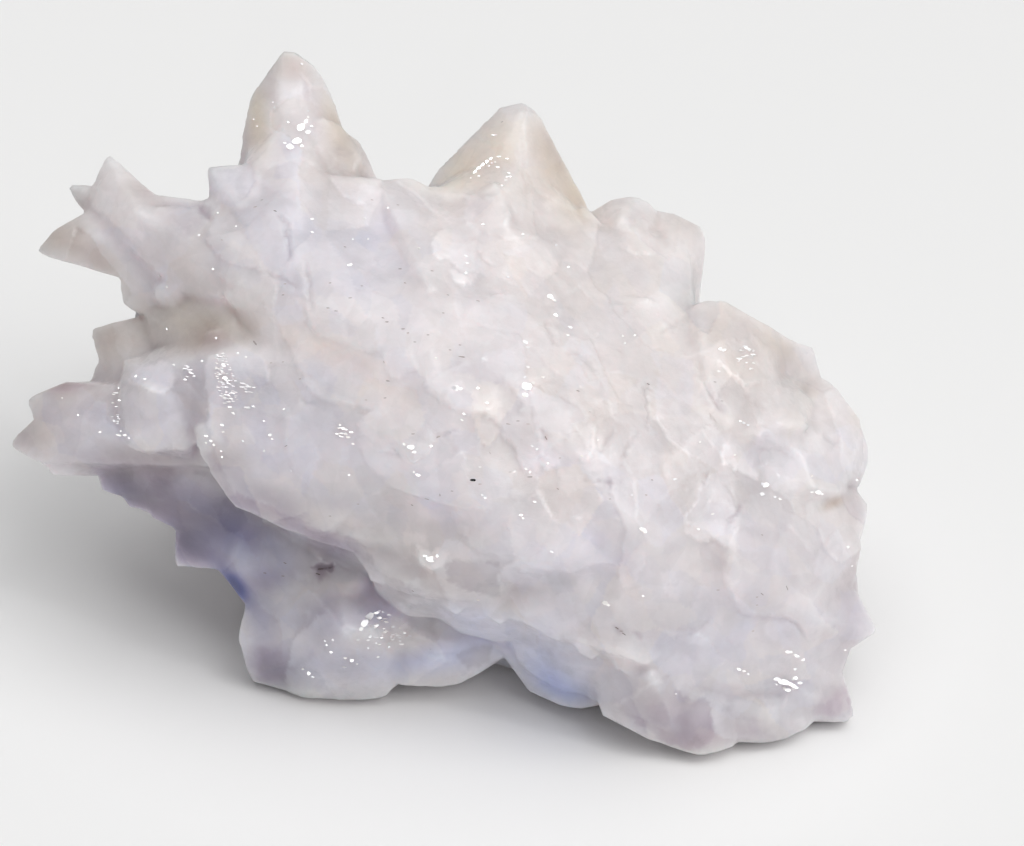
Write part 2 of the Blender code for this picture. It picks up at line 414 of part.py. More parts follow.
def sheet_of(p):
    """Where a point, in mm, stands on the sheet as seen from the viewing point."""
    q = Vector((p.x - SHIFT_X, p.y - SHIFT_Y, p.z - AIM_HEIGHT))
    near = 1.0 - q.dot(TOWARD) / VIEW_DISTANCE
    return AIM_ACROSS + q.dot(RIGHT) / (UNIT * near), AIM_DOWN - q.dot(UP) / (UNIT * near)


def hidden_crystals(surface):
    """Dogtooth crystals all over the sides and back, each as long as the outline in front of it allows."""
    made = []
    middle = Vector(ROUND)
    for elevation, count, first, last, length, width in ROWS:
        for i in range(count):
            heading = math.radians(first + (last - first) * (i + rng.uniform(0.2, 0.8)) / count)
            rise = math.radians(elevation + rng.uniform(-6.0, 6.0))
            ray = Vector((math.cos(heading) * math.cos(rise), math.sin(heading) * math.cos(rise), math.sin(rise)))
            spot = surface.ray_cast(middle * MM, ray)[0]
            if spot is None:
                continue
            spot = spot / MM
            aim = (ray + Vector((rng.uniform(-0.25, 0.25), rng.uniform(-0.25, 0.25), 0.30))).normalized()
            size = rng.choice((0.72, 0.9, 1.0, 1.15, 1.4))
            reach, wide, twist = length * size, width * size * rng.uniform(0.85, 1.1), rng.uniform(0.0, 1.0)
            while reach > 2.0:
                tip = spot + aim * reach
                if inside(COVER, *sheet_of(tip)) and tip.z > 1.0:
                    break
                reach -= 1.0
            else:
                continue
            root = spot - ray * 9.0
            wide = min(wide, 1.6 * reach + 6.0)
            side = aim.orthogonal().normalized()
            edge = [spot + (Matrix.Rotation(k * math.pi / 4.0, 3, aim) @ side) * wide * 0.5 for k in range(8)]
            edge += [spot.lerp(tip, 0.35), spot.lerp(tip, 0.7)]
            if not all(inside(COVER, *sheet_of(e)) for e in edge):
                continue
            made.append(dogtooth(tip, root, wide, twist))
    return made


# ---------------------------------------------------------------- the scene
for old in list(bpy.data.objects):
    bpy.data.objects.remove(old, do_unlink=True)

cluster_parts = bpy.data.collections.new("cave_calcite_cluster")
cutters = bpy.data.collections.new("cutters")
bpy.context.scene.collection.children.link(cluster_parts)
bpy.context.scene.collection.children.link(cutters)


def mesh_object(name, bm, collection, guide=False):
    me = bpy.data.meshes.new(name)
    bm.to_mesh(me)
    bm.free()
    ob = bpy.data.objects.new(name, me)
    collection.objects.link(ob)
    if guide:
        ob.hide_render = True
        ob.display_type = "WIRE"
    return ob


rng = random.Random(SEED)
crystals = roots()
crystals.append(ground())
crystals += [plate(MASS, *c) for c in MASS_CRYSTALS]
crystals += [plate(FOOT, *c) for c in FOOT_CRYSTALS]
crystals += [standing(*c) for c in TOP_CRYSTALS]

core = heart()
crystals += hidden_crystals(BVHTree.FromBMesh(core))

body = mesh_object("calcite_cluster", core, cluster_parts)
grown = bpy.data.collections.new("grown_crystals")
cutters.children.link(grown)
for i, bm in enumerate(crystals):
    mesh_object("crystal_%03d" % i, bm, grown, guide=True)

# join every crystal to the heart
join = body.modifiers.new("grown_together", "BOOLEAN")
join.operation = "UNION"
join.operand_type = "COLLECTION"
join.collection = grown
join.solver = "EXACT"
join.use_self = False

# cut the base off flat
slab = bmesh.new()
bmesh.ops.create_cube(slab, size=1.0, matrix=Matrix.Translation((0.0, 0.0, -0.05)) @ Matrix.Diagonal((0.4, 0.4, 0.1, 1.0)))
floor_cut = mesh_object("base_cut", slab, cutters, guide=True)
cut = body.modifiers.new("cut_flat", "BOOLEAN")
cut.operation = "DIFFERENCE"
cut.object = floor_cut
cut.solver = "EXACT"

# read the joined body back, close up its hollows and tidy slivers
bpy.context.view_layer.update()
joined = bpy.data.meshes.new_from_object(body.evaluated_get(bpy.context.evaluated_depsgraph_get()))
body.modifiers.clear()
body.data = joined
bm = bmesh.new()
bm.from_mesh(joined)
bmesh.ops.remove_doubles(bm, verts=bm.verts, dist=0.00001)
bmesh.ops.triangulate(bm, faces=bm.faces)


def shells(bm):
    seen, found = set(), []
    for f in bm.faces:
        if f in seen:
            continue
        stack, shell = [f], []
        seen.add(f)
        while stack:
            g = stack.pop()
            shell.append(g)
            for e in g.edges:
                for h in e.link_faces:
                    if h not in seen:
                        seen.add(h)
                        stack.append(h)
        found.append(shell)
    return found


groups = sorted(shells(bm), key=len, reverse=True)
for extra in groups[1:]:
    bmesh.ops.delete(bm, geom=extra, context="FACES")
bmesh.ops.delete(bm, geom=[v for v in bm.verts if not v.link_faces], context="VERTS")
bmesh.ops.translate(bm, vec=(HOME[0] * MM, HOME[1] * MM, 0.0), verts=bm.verts)
bm.to_mesh(joined)
bm.free()
print("shells", [len(g) for g in groups][:8], "triangles", len(joined.polygons))

calcite = bpy.data.materials.new("calcite")
calcite.use_nodes = True
shader = calcite.node_tree.nodes["Principled BSDF"]
shader.inputs["Base Color"].default_value = COLOUR
shader.inputs["Roughness"].default_value = ROUGHNESS
shader.inputs["Metallic"].default_value = 0.0
calcite.diffuse_color = COLOUR
joined.materials.clear()
joined.materials.append(calcite)
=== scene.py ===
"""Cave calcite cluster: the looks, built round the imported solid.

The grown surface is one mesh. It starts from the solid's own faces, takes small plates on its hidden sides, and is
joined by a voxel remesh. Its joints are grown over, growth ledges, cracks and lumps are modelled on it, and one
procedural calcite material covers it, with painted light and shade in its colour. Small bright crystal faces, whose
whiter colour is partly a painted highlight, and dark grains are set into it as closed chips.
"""
import math
import random
import bmesh
import bpy
import numpy as np
from mathutils import Matrix, Vector
from mathutils.bvhtree import BVHTree


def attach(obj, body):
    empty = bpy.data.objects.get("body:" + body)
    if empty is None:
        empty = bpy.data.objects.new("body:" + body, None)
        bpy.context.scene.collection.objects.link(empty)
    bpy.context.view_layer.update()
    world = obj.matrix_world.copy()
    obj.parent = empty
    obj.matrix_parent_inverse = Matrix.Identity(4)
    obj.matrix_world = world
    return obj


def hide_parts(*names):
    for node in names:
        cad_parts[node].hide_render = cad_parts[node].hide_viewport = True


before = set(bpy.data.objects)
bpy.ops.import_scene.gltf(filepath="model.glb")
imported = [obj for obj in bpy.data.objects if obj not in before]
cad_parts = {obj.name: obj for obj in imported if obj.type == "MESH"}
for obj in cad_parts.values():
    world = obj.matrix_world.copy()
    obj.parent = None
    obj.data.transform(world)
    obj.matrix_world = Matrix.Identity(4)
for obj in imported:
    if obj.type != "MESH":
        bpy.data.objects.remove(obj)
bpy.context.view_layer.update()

MM = 0.001

# ---------------------------------------------------------------- the sheet that crystals are laid out on
UNIT = 0.16                    # mm for each unit across and down, at the sheet
LEAN = math.radians(35.0)      # how far the line of sight looks down
VIEW_DISTANCE = 420.0          # mm
AIM_ACROSS, AIM_DOWN = 512.0, 423.0
AIM_AT = Vector((11.0 + 0.508, -8.0 - 3.514, 41.0))   # the aim point in the part's frame, mm

RIGHT = Vector((1.0, 0.0, 0.0))
UP = Vector((0.0, math.sin(LEAN), math.cos(LEAN)))
TOWARD = Vector((0.0, -math.cos(LEAN), math.sin(LEAN)))
EYE = AIM_AT + TOWARD * VIEW_DISTANCE


def at(across, down, out=0.0):
    near = 1.0 - out / VIEW_DISTANCE
    return AIM_AT + (across - AIM_ACROSS) * UNIT * near * RIGHT + (AIM_DOWN - down) * UNIT * near * UP + out * TOWARD


def sheet_of(p):
    """Sheet places of an array of points in mm."""
    q = p - np.array(AIM_AT)
    out = q @ np.array(TOWARD)
    near = 1.0 - out / VIEW_DISTANCE
    return AIM_ACROSS + (q @ np.array(RIGHT)) / (UNIT * near), AIM_DOWN - (q @ np.array(UP)) / (UNIT * near), out


# ---------------------------------------------------------------- growth ledges
# (height in mm, reach in sheet units, strength of the painted highlight on the lip and the painted shade below it,
# places along the lip)
# The low side is on the right hand of someone who walks along the lip.
LEDGES = (
    # upper left plates
    (0.60, 30, 1.0, ((208, 230), (207, 238), (216, 252), (226, 261), (238, 266), (262, 270), (283, 280), (297, 284))),
    (0.20, 14, 0.5, ((222, 240), (233, 248), (245, 255), (262, 268))),
    (0.25, 16, 0.6, ((278, 294), (290, 297), (298, 305), (302, 315))),
    (0.35, 22, 0.4, ((214, 288), (222, 300), (232, 312), (243, 322), (243, 344))),
    (0.25, 18, 0.8, ((262, 297), (268, 315), (278, 325), (285, 337))),
    (0.60, 34, 1.0, ((304, 300), (310, 325), (320, 335), (335, 343), (350, 347), (367, 351), (378, 349), (384, 351))),
    (0.35, 18, 1.0, ((384, 350), (384, 360), (386, 372), (392, 377), (402, 377), (412, 370), (420, 369))),
    (0.50, 26, 0.8, ((278, 333), (290, 345), (298, 365), (303, 380), (308, 390), (318, 398), (330, 404), (345, 405),
                     (365, 408), (374, 411))),
    (0.50, 26, 1.0, ((382, 402), (366, 414), (358, 426), (362, 433), (372, 440), (378, 448))),
    (0.45, 20, 1.0, ((360, 444), (365, 460), (370, 468), (378, 475), (388, 473))),
    (0.35, 24, 0.9, ((245, 341), (222, 350), (207, 357), (205, 365), (208, 395), (208, 425), (214, 445), (222, 470),
                     (235, 490), (255, 502), (270, 503), (285, 515), (300, 520), (325, 531), (350, 531), (358, 520))),
    (0.15, 16, 0.4, ((286, 343), (277, 360), (275, 375), (275, 392))),
    (0.15, 18, 0.5, ((258, 411), (270, 415), (280, 418), (300, 422))),
    (0.25, 20, 0.5, ((285, 428), (286, 440), (288, 455), (295, 470), (308, 485), (308, 502))),
    # top
    (0.35, 18, 0.6, ((500, 200), (480, 197), (465, 194), (428, 190))),
    (0.30, 14, 0.9, ((466, 194), (466, 210), (465, 227))),
    (0.25, 12, 0.6, ((507, 226), (503, 212), (500, 200))),
    (0.45, 18, 1.2, ((447, 227), (437, 233), (431, 243), (432, 252), (438, 257), (447, 259), (455, 265), (465, 270),
                     (480, 272), (490, 277))),
    (0.25, 10, 0.8, ((446, 268), (450, 275), (457, 283), (468, 285), (477, 279))),
    (0.30, 18, 0.5, ((560, 247), (540, 238), (520, 232), (505, 226))),
    (0.35, 20, 0.7, ((500, 279), (521, 285), (530, 296), (543, 301))),
    (0.45, 24, 1.0, ((598, 224), (612, 229), (630, 231))),
    (0.40, 20, 0.6, ((618, 242), (632, 252), (645, 256), (660, 255))),
    # middle
    (0.55, 30, 1.0, ((420, 370), (423, 382), (430, 390), (440, 400), (450, 408), (465, 412), (480, 413), (492, 418),
                     (500, 428), (505, 440), (513, 448), (518, 460), (522, 472), (532, 478))),
    (0.55, 34, 1.0, ((384, 480), (392, 487), (400, 490), (420, 497), (435, 502), (450, 507), (470, 509), (496, 512))),
    (0.30, 14, 1.0, ((534, 473), (540, 468), (548, 466), (560, 467))),
    (0.25, 12, 0.7, ((558, 468), (560, 490), (570, 498))),
    (0.45, 16, 1.1, ((575, 452), (578, 460), (584, 463), (592, 458), (597, 448), (598, 420))),
    (0.25, 14, 0.5, ((583, 479), (595, 481), (607, 485))),
    (0.35, 18, 0.6, ((500, 375), (510, 388), (520, 400), (520, 416))),
    (0.30, 20, 0.5, ((568, 358), (585, 360), (598, 377), (606, 395))),
    (0.35, 20, 0.8, ((724, 430), (712, 428), (700, 427), (690, 438), (681, 448), (671, 459))),
    (0.50, 24, 0.8, ((608, 463), (609, 480), (612, 500), (622, 515), (626, 530), (622, 550), (620, 575), (624, 589),
                     (632, 588), (638, 575), (645, 560), (648, 543))),
    (0.30, 16, 0.5, ((598, 459), (610, 467), (628, 462))),
    (0.40, 10, 1.0, ((727, 440), (722, 450), (722, 463), (733, 466), (740, 474), (758, 480), (759, 468))),
    (0.35, 22, 0.5, ((716, 429), (733, 434), (745, 439), (760, 446), (780, 452), (797, 457))),
    (0.40, 22, 0.5, ((748, 500), (738, 512), (731, 520), (728, 528), (735, 537))),
    # lower layers
    (0.50, 26, 0.8, ((338, 532), (355, 540), (365, 545), (371, 555), (375, 565), (385, 575), (400, 580), (418, 587))),
    (0.35, 12, 0.8, ((398, 579), (410, 590), (425, 599), (445, 600), (465, 603))),
    (0.40, 24, 0.8, ((462, 543), (478, 550), (490, 555), (515, 555), (529, 566))),
    (0.35, 20, 0.7, ((450, 507), (455, 525), (465, 537), (472, 549))),
    (0.50, 24, 1.0, ((525, 560), (530, 568), (545, 570), (560, 570), (575, 572), (590, 566), (600, 563), (620, 564))),
    (0.35, 16, 0.8, ((520, 614), (540, 620), (555, 628), (567, 638))),
    (0.30, 14, 0.6, ((518, 618), (530, 632), (545, 640), (562, 646))),
    (0.50, 24, 0.9, ((588, 643), (600, 650), (615, 655), (630, 660), (650, 667))),
    (0.40, 18, 1.0, ((682, 530), (690, 538), (700, 541), (715, 541), (730, 551))),
    (0.40, 18, 0.8, ((733, 553), (726, 562), (723, 570), (725, 582), (729, 590), (736, 602))),
    (0.30, 14, 0.5, ((672, 689), (685, 692), (697, 695), (717, 703))),
    (0.40, 16, 0.9, ((714, 706), (710, 714), (710, 720), (712, 730), (720, 738), (737, 739))),
    (0.35, 14, 0.9, ((675, 677), (664, 679), (655, 680), (640, 690), (625, 699), (610, 706))),
    (0.40, 14, 0.8, ((610, 707), (625, 713), (640, 718), (655, 725), (670, 733))),
    (0.35, 18, 0.5, ((752, 436), (770, 442), (790, 450), (808, 462))),
    (0.40, 20, 0.5, ((733, 604), (745, 615), (760, 618), (780, 618), (795, 622), (803, 632), (811, 643))),
    (0.30, 16, 0.5, ((783, 518), (795, 535), (813, 554))),
    (0.35, 16, 0.5, ((712, 619), (698, 628), (684, 638))),
    # left crystals
    (0.35, 16, 0.4, ((203, 334), (180, 343), (165, 348), (150, 355), (128, 365), (121, 381))),
    (0.40, 14, 1.0, ((124, 380), (122, 400), (124, 420), (126, 437), (143, 450), (155, 453), (168, 448), (190, 450),
                     (202, 438))),
    (0.35, 14, 0.7, ((126, 384), (135, 387), (148, 390), (162, 394), (171, 389), (178, 377))),
    (0.30, 18, 0.6, ((95, 183), (90, 197), (92, 210), (110, 222), (122, 230), (143, 250), (158, 272), (166, 282))),
    (0.35, 14, 0.5, ((155, 279), (152, 292), (158, 302), (172, 306), (184, 303))),
    (0.40, 16, 1.8, ((330, 613), (318, 617), (305, 630), (293, 640), (288, 660), (286, 688))),
    (0.30, 18, 0.5, ((262, 172), (275, 166), (300, 160), (315, 165), (329, 178))),
    (0.35, 14, 0.8, ((328, 177), (335, 186), (345, 197), (366, 208))),
    (0.30, 16, 0.5, ((771, 367), (768, 350), (757, 337), (745, 338), (718, 342), (706, 347))),
    (0.30, 14, 0.5, ((803, 350), (801, 366), (800, 380), (792, 397))),
    (0.30, 16, 0.6, ((843, 431), (830, 435), (815, 432), (806, 425), (800, 408))),
)

# (depth in mm, half width, darkness, places)
CRACKS = (
    (0.30, 2.2, 0.9, ((274, 209), (280, 216), (286, 222), (287, 240), (289, 264))),
    (0.22, 1.8, 1.0, ((305, 256), (307, 278), (309, 290), (312, 304), (314, 317))),
    (0.25, 2.4, 1.4, ((376, 452), (388, 453), (402, 453))),
    (0.20, 2.0, 1.0, ((475, 253), (485, 261), (496, 268))),
    (0.40, 3.0, 1.0, ((544, 318), (552, 333), (559, 347))),
    (0.20, 2.0, 1.2, ((431, 438), (440, 436), (448, 431), (460, 430))),
    (0.25, 2.2, 1.3, ((542, 428), (545, 436), (547, 446))),
    (0.25, 3.0, 0.9, ((566, 354), (576, 355), (586, 359), (593, 368), (599, 377))),
    (0.25, 2.6, 0.9, ((658, 336), (672, 326), (692, 314))),
    (0.30, 2.0, 1.2, ((647, 379), (646, 395), (648, 412), (647, 432))),
    (0.20, 2.0, 0.8, ((616, 428), (608, 441), (600, 456))),
    (0.20, 2.0, 0.7, ((641, 428), (630, 444), (620, 461))),
    (0.20, 1.8, 1.1, ((706, 471), (706, 479), (705, 488))),
    (0.25, 2.4, 1.2, ((744, 503), (737, 512), (731, 520), (728, 528))),
    (0.35, 3.0, 1.0, ((697, 352), (702, 372), (708, 387), (715, 400), (728, 416))),
    (0.30, 2.4, 1.2, ((611, 624), (617, 628), (623, 636))),
    (0.25, 2.0, 1.0, ((631, 630), (638, 635), (643, 642))),
    (0.25, 2.2, 0.8, ((733, 604), (745, 615), (780, 618), (796, 623), (810, 642))),
    (0.25, 2.2, 0.8, ((685, 637), (698, 629), (713, 619))),
    (0.20, 2.0, 1.0, ((300, 398), (306, 404), (316, 402))),
    (0.20, 1.8, 1.1, ((358, 411), (366, 413), (374, 410))),
    (0.25, 2.6, 1.0, ((822, 434), (830, 440), (841, 443))),
    (0.20, 2.0, 0.8, ((262, 275), (276, 277), (290, 283), (301, 291))),
    (0.30, 3.0, 1.0, ((197, 206), (204, 212), (212, 218))),
    (0.15, 2.2, 0.9, ((520, 112), (523, 150), (526, 190), (530, 212))),
    (0.15, 1.8, 0.6, ((400, 376), (408, 372), (419, 369))),
    (0.20, 2.0, 0.9, ((594, 483), (606, 482), (614, 486))),
)

# small hollows, with painted shade in them: (depth in mm, softness, darkness of the painted shade, corners)
PITS = (
    (0.5, 1.8, 2.0, ((311, 568), (318, 565), (327, 566), (334, 565), (333, 570), (325, 572), (318, 572))),
    (0.3, 2.5, 0.9, ((316, 571), (325, 571), (325, 578), (320, 583), (316, 577))),
    (0.3, 5.0, 0.0, ((822, 500), (832, 496), (844, 497), (838, 507), (825, 509))),
    (0.4, 5.0, 0.5, ((402, 606), (436, 606), (434, 636), (410, 632))),
)

# growth that bridges deep gaps: (depth in mm, corners across, down and out in mm)
BRIDGES = (
    # between the left crystals and the middle mass, and the brown recess under that
    (9.0, ((190, 207, -2.4), (206, 200, -0.5), (214, 210, 1.4), (214, 240, 4.0), (224, 262, 6.0), (230, 290, 7.6),
           (240, 312, 6.8), (226, 312, 2.2), (200, 304, -1.4), (188, 280, -1.2), (186, 240, -2.4))),
    (10.0, ((146, 312, -3.2), (165, 303, -1.0), (198, 300, 1.4), (226, 300, 6.4), (242, 312, 8.8), (246, 332, 10.8),
            (238, 344, 12.4), (212, 353, 12.4), (198, 358, 8.4), (176, 356, 1.6), (150, 342, -2.9))),
    (8.0, ((192, 352, 2.5), (212, 346, 8.5), (212, 400, 9.5), (212, 446, 10.0), (200, 450, 6.2), (190, 440, 5.0),
           (188, 380, 4.4))),
    # under the lower edge of the middle mass
    (10.0, ((366, 556, 12.6), (402, 578, 14.6), (440, 596, 14.0), (448, 606, 10.5), (430, 618, 7.0), (400, 612, 6.2),
            (376, 590, 7.2))),
    (10.0, ((430, 592, 14.5), (480, 602, 12.5), (520, 616, 12.6), (524, 636, 8.0), (500, 642, 3.4), (462, 632, 4.2),
            (436, 616, 6.8))),
    (10.0, ((510, 612, 13.4), (560, 630, 14.6), (608, 652, 14.6), (606, 664, 12.0), (572, 662, 8.6), (540, 652, 5.6),
            (514, 644, 4.6))),
    # small plates whose points hang over that edge
    (4.0, ((440, 588, 14.6), (460, 589, 14.4), (467, 603, 13.8), (457, 615, 12.4), (444, 606, 12.8))),
    (4.0, ((478, 592, 13.8), (500, 594, 14.0), (510, 611, 13.8), (501, 625, 12.8), (486, 615, 13.0))),
    (4.0, ((530, 608, 14.6), (552, 606, 15.0), (567, 621, 15.4), (561, 641, 14.4), (546, 635, 14.2), (533, 622, 14.0))),
    (4.0, ((571, 626, 15.6), (591, 624, 15.9), (603, 640, 16.0), (594, 660, 14.8), (579, 651, 14.6))),
    (4.0, ((610, 642, 15.6), (632, 640, 15.9), (642, 659, 15.6), (630, 676, 14.4), (614, 666, 14.6))),
    # the foot of the broad top crystal
    (5.0, ((444, 183, -14.5), (462, 172, -13.2), (484, 162, -11.2), (508, 158, -9.1), (526, 160, -8.9), (538, 176, -9.8),
           (534, 218, -2.4), (514, 210, 0.2), (500, 199, 0.9), (480, 200, -1.6), (460, 200, -3.4), (444, 198, -3.9),
           (438, 190, -6.0))),
    (5.0, ((520, 164, -8.9), (536, 172, -9.6), (552, 188, -11.2), (568, 204, -13.0), (584, 216, -13.6), (588, 231, -9.0),
           (566, 234, -7.2), (540, 226, -2.8), (524, 214, -1.2), (512, 206, 0.2))),
    # the foot of the tall upper left crystal
    (6.0, ((247, 152, -9.6), (262, 140, -7.6), (286, 120, -6.3), (304, 120, -6.2), (316, 140, -6.6), (325, 160, -6.6),
           (322, 183, -0.8), (296, 183, 1.3), (268, 183, -0.4), (247, 178, -1.7), (245, 168, -3.4))),
    # the first of the far left crystals is broad, and its foot widens into the middle mass
    (5.0, ((99, 186, -9.0), (108, 175, -9.0), (117, 180, -6.6), (132, 196, -2.6), (150, 222, 1.4), (168, 244, 2.4),
           (166, 268, 1.2), (157, 274, 0.0), (140, 256, -1.0), (120, 238, -3.0), (104, 220, -6.6), (98, 208, -8.4))),
    (6.0, ((150, 226, 1.3), (154, 207, -0.8), (180, 206, -1.5), (203, 209, 0.5), (216, 218, 2.8), (219, 262, 6.8),
           (223, 298, 7.4), (197, 299, 1.6), (176, 292, 1.4), (160, 270, 1.0))),
    # the block crystal on the left, up to the edge of the middle mass
    (8.0, ((152, 352, 0.5), (172, 347, 2.5), (196, 345, 8.0), (204, 352, 12.0), (206, 400, 13.2), (206, 440, 13.0),
           (190, 444, 10.6), (186, 404, 11.5), (170, 392, 11.0), (150, 384, 9.0), (139, 372, 5.4))),
    # from the under edge down to the blue shaded foot
    (8.0, ((514, 644, 4.6), (540, 652, 7.5), (572, 662, 10.5), (604, 667, 12.5), (605, 684, 8.0), (590, 695, 3.0),
           (560, 691, 2.4), (532, 674, 1.4), (517, 662, 0.8))),
    (6.0, ((592, 662, 11.0), (612, 664, 13.0), (626, 678, 12.4), (622, 694, 11.4), (604, 700, 8.6), (592, 700, 3.4),
           (584, 690, 4.0))),
    # between the tall upper left crystal and the lump on its right
    (6.0, ((312, 128, -5.8), (322, 118, -6.6), (340, 126, -7.6), (352, 142, -6.8), (362, 160, -6.0), (358, 174, -5.4),
           (330, 178, -4.2), (312, 172, -3.4))),
    # the dark slits at the upper right
    (8.0, ((612, 236, -8.4), (648, 236, -10.2), (688, 250, -13.6), (694, 296, -16.0), (692, 316, -4.4), (650, 312, 1.4),
           (612, 300, 2.2))),
    (8.0, ((762, 376, 2.8), (786, 378, -3.6), (812, 402, -3.4), (806, 424, 3.2), (776, 412, 4.6))),
)
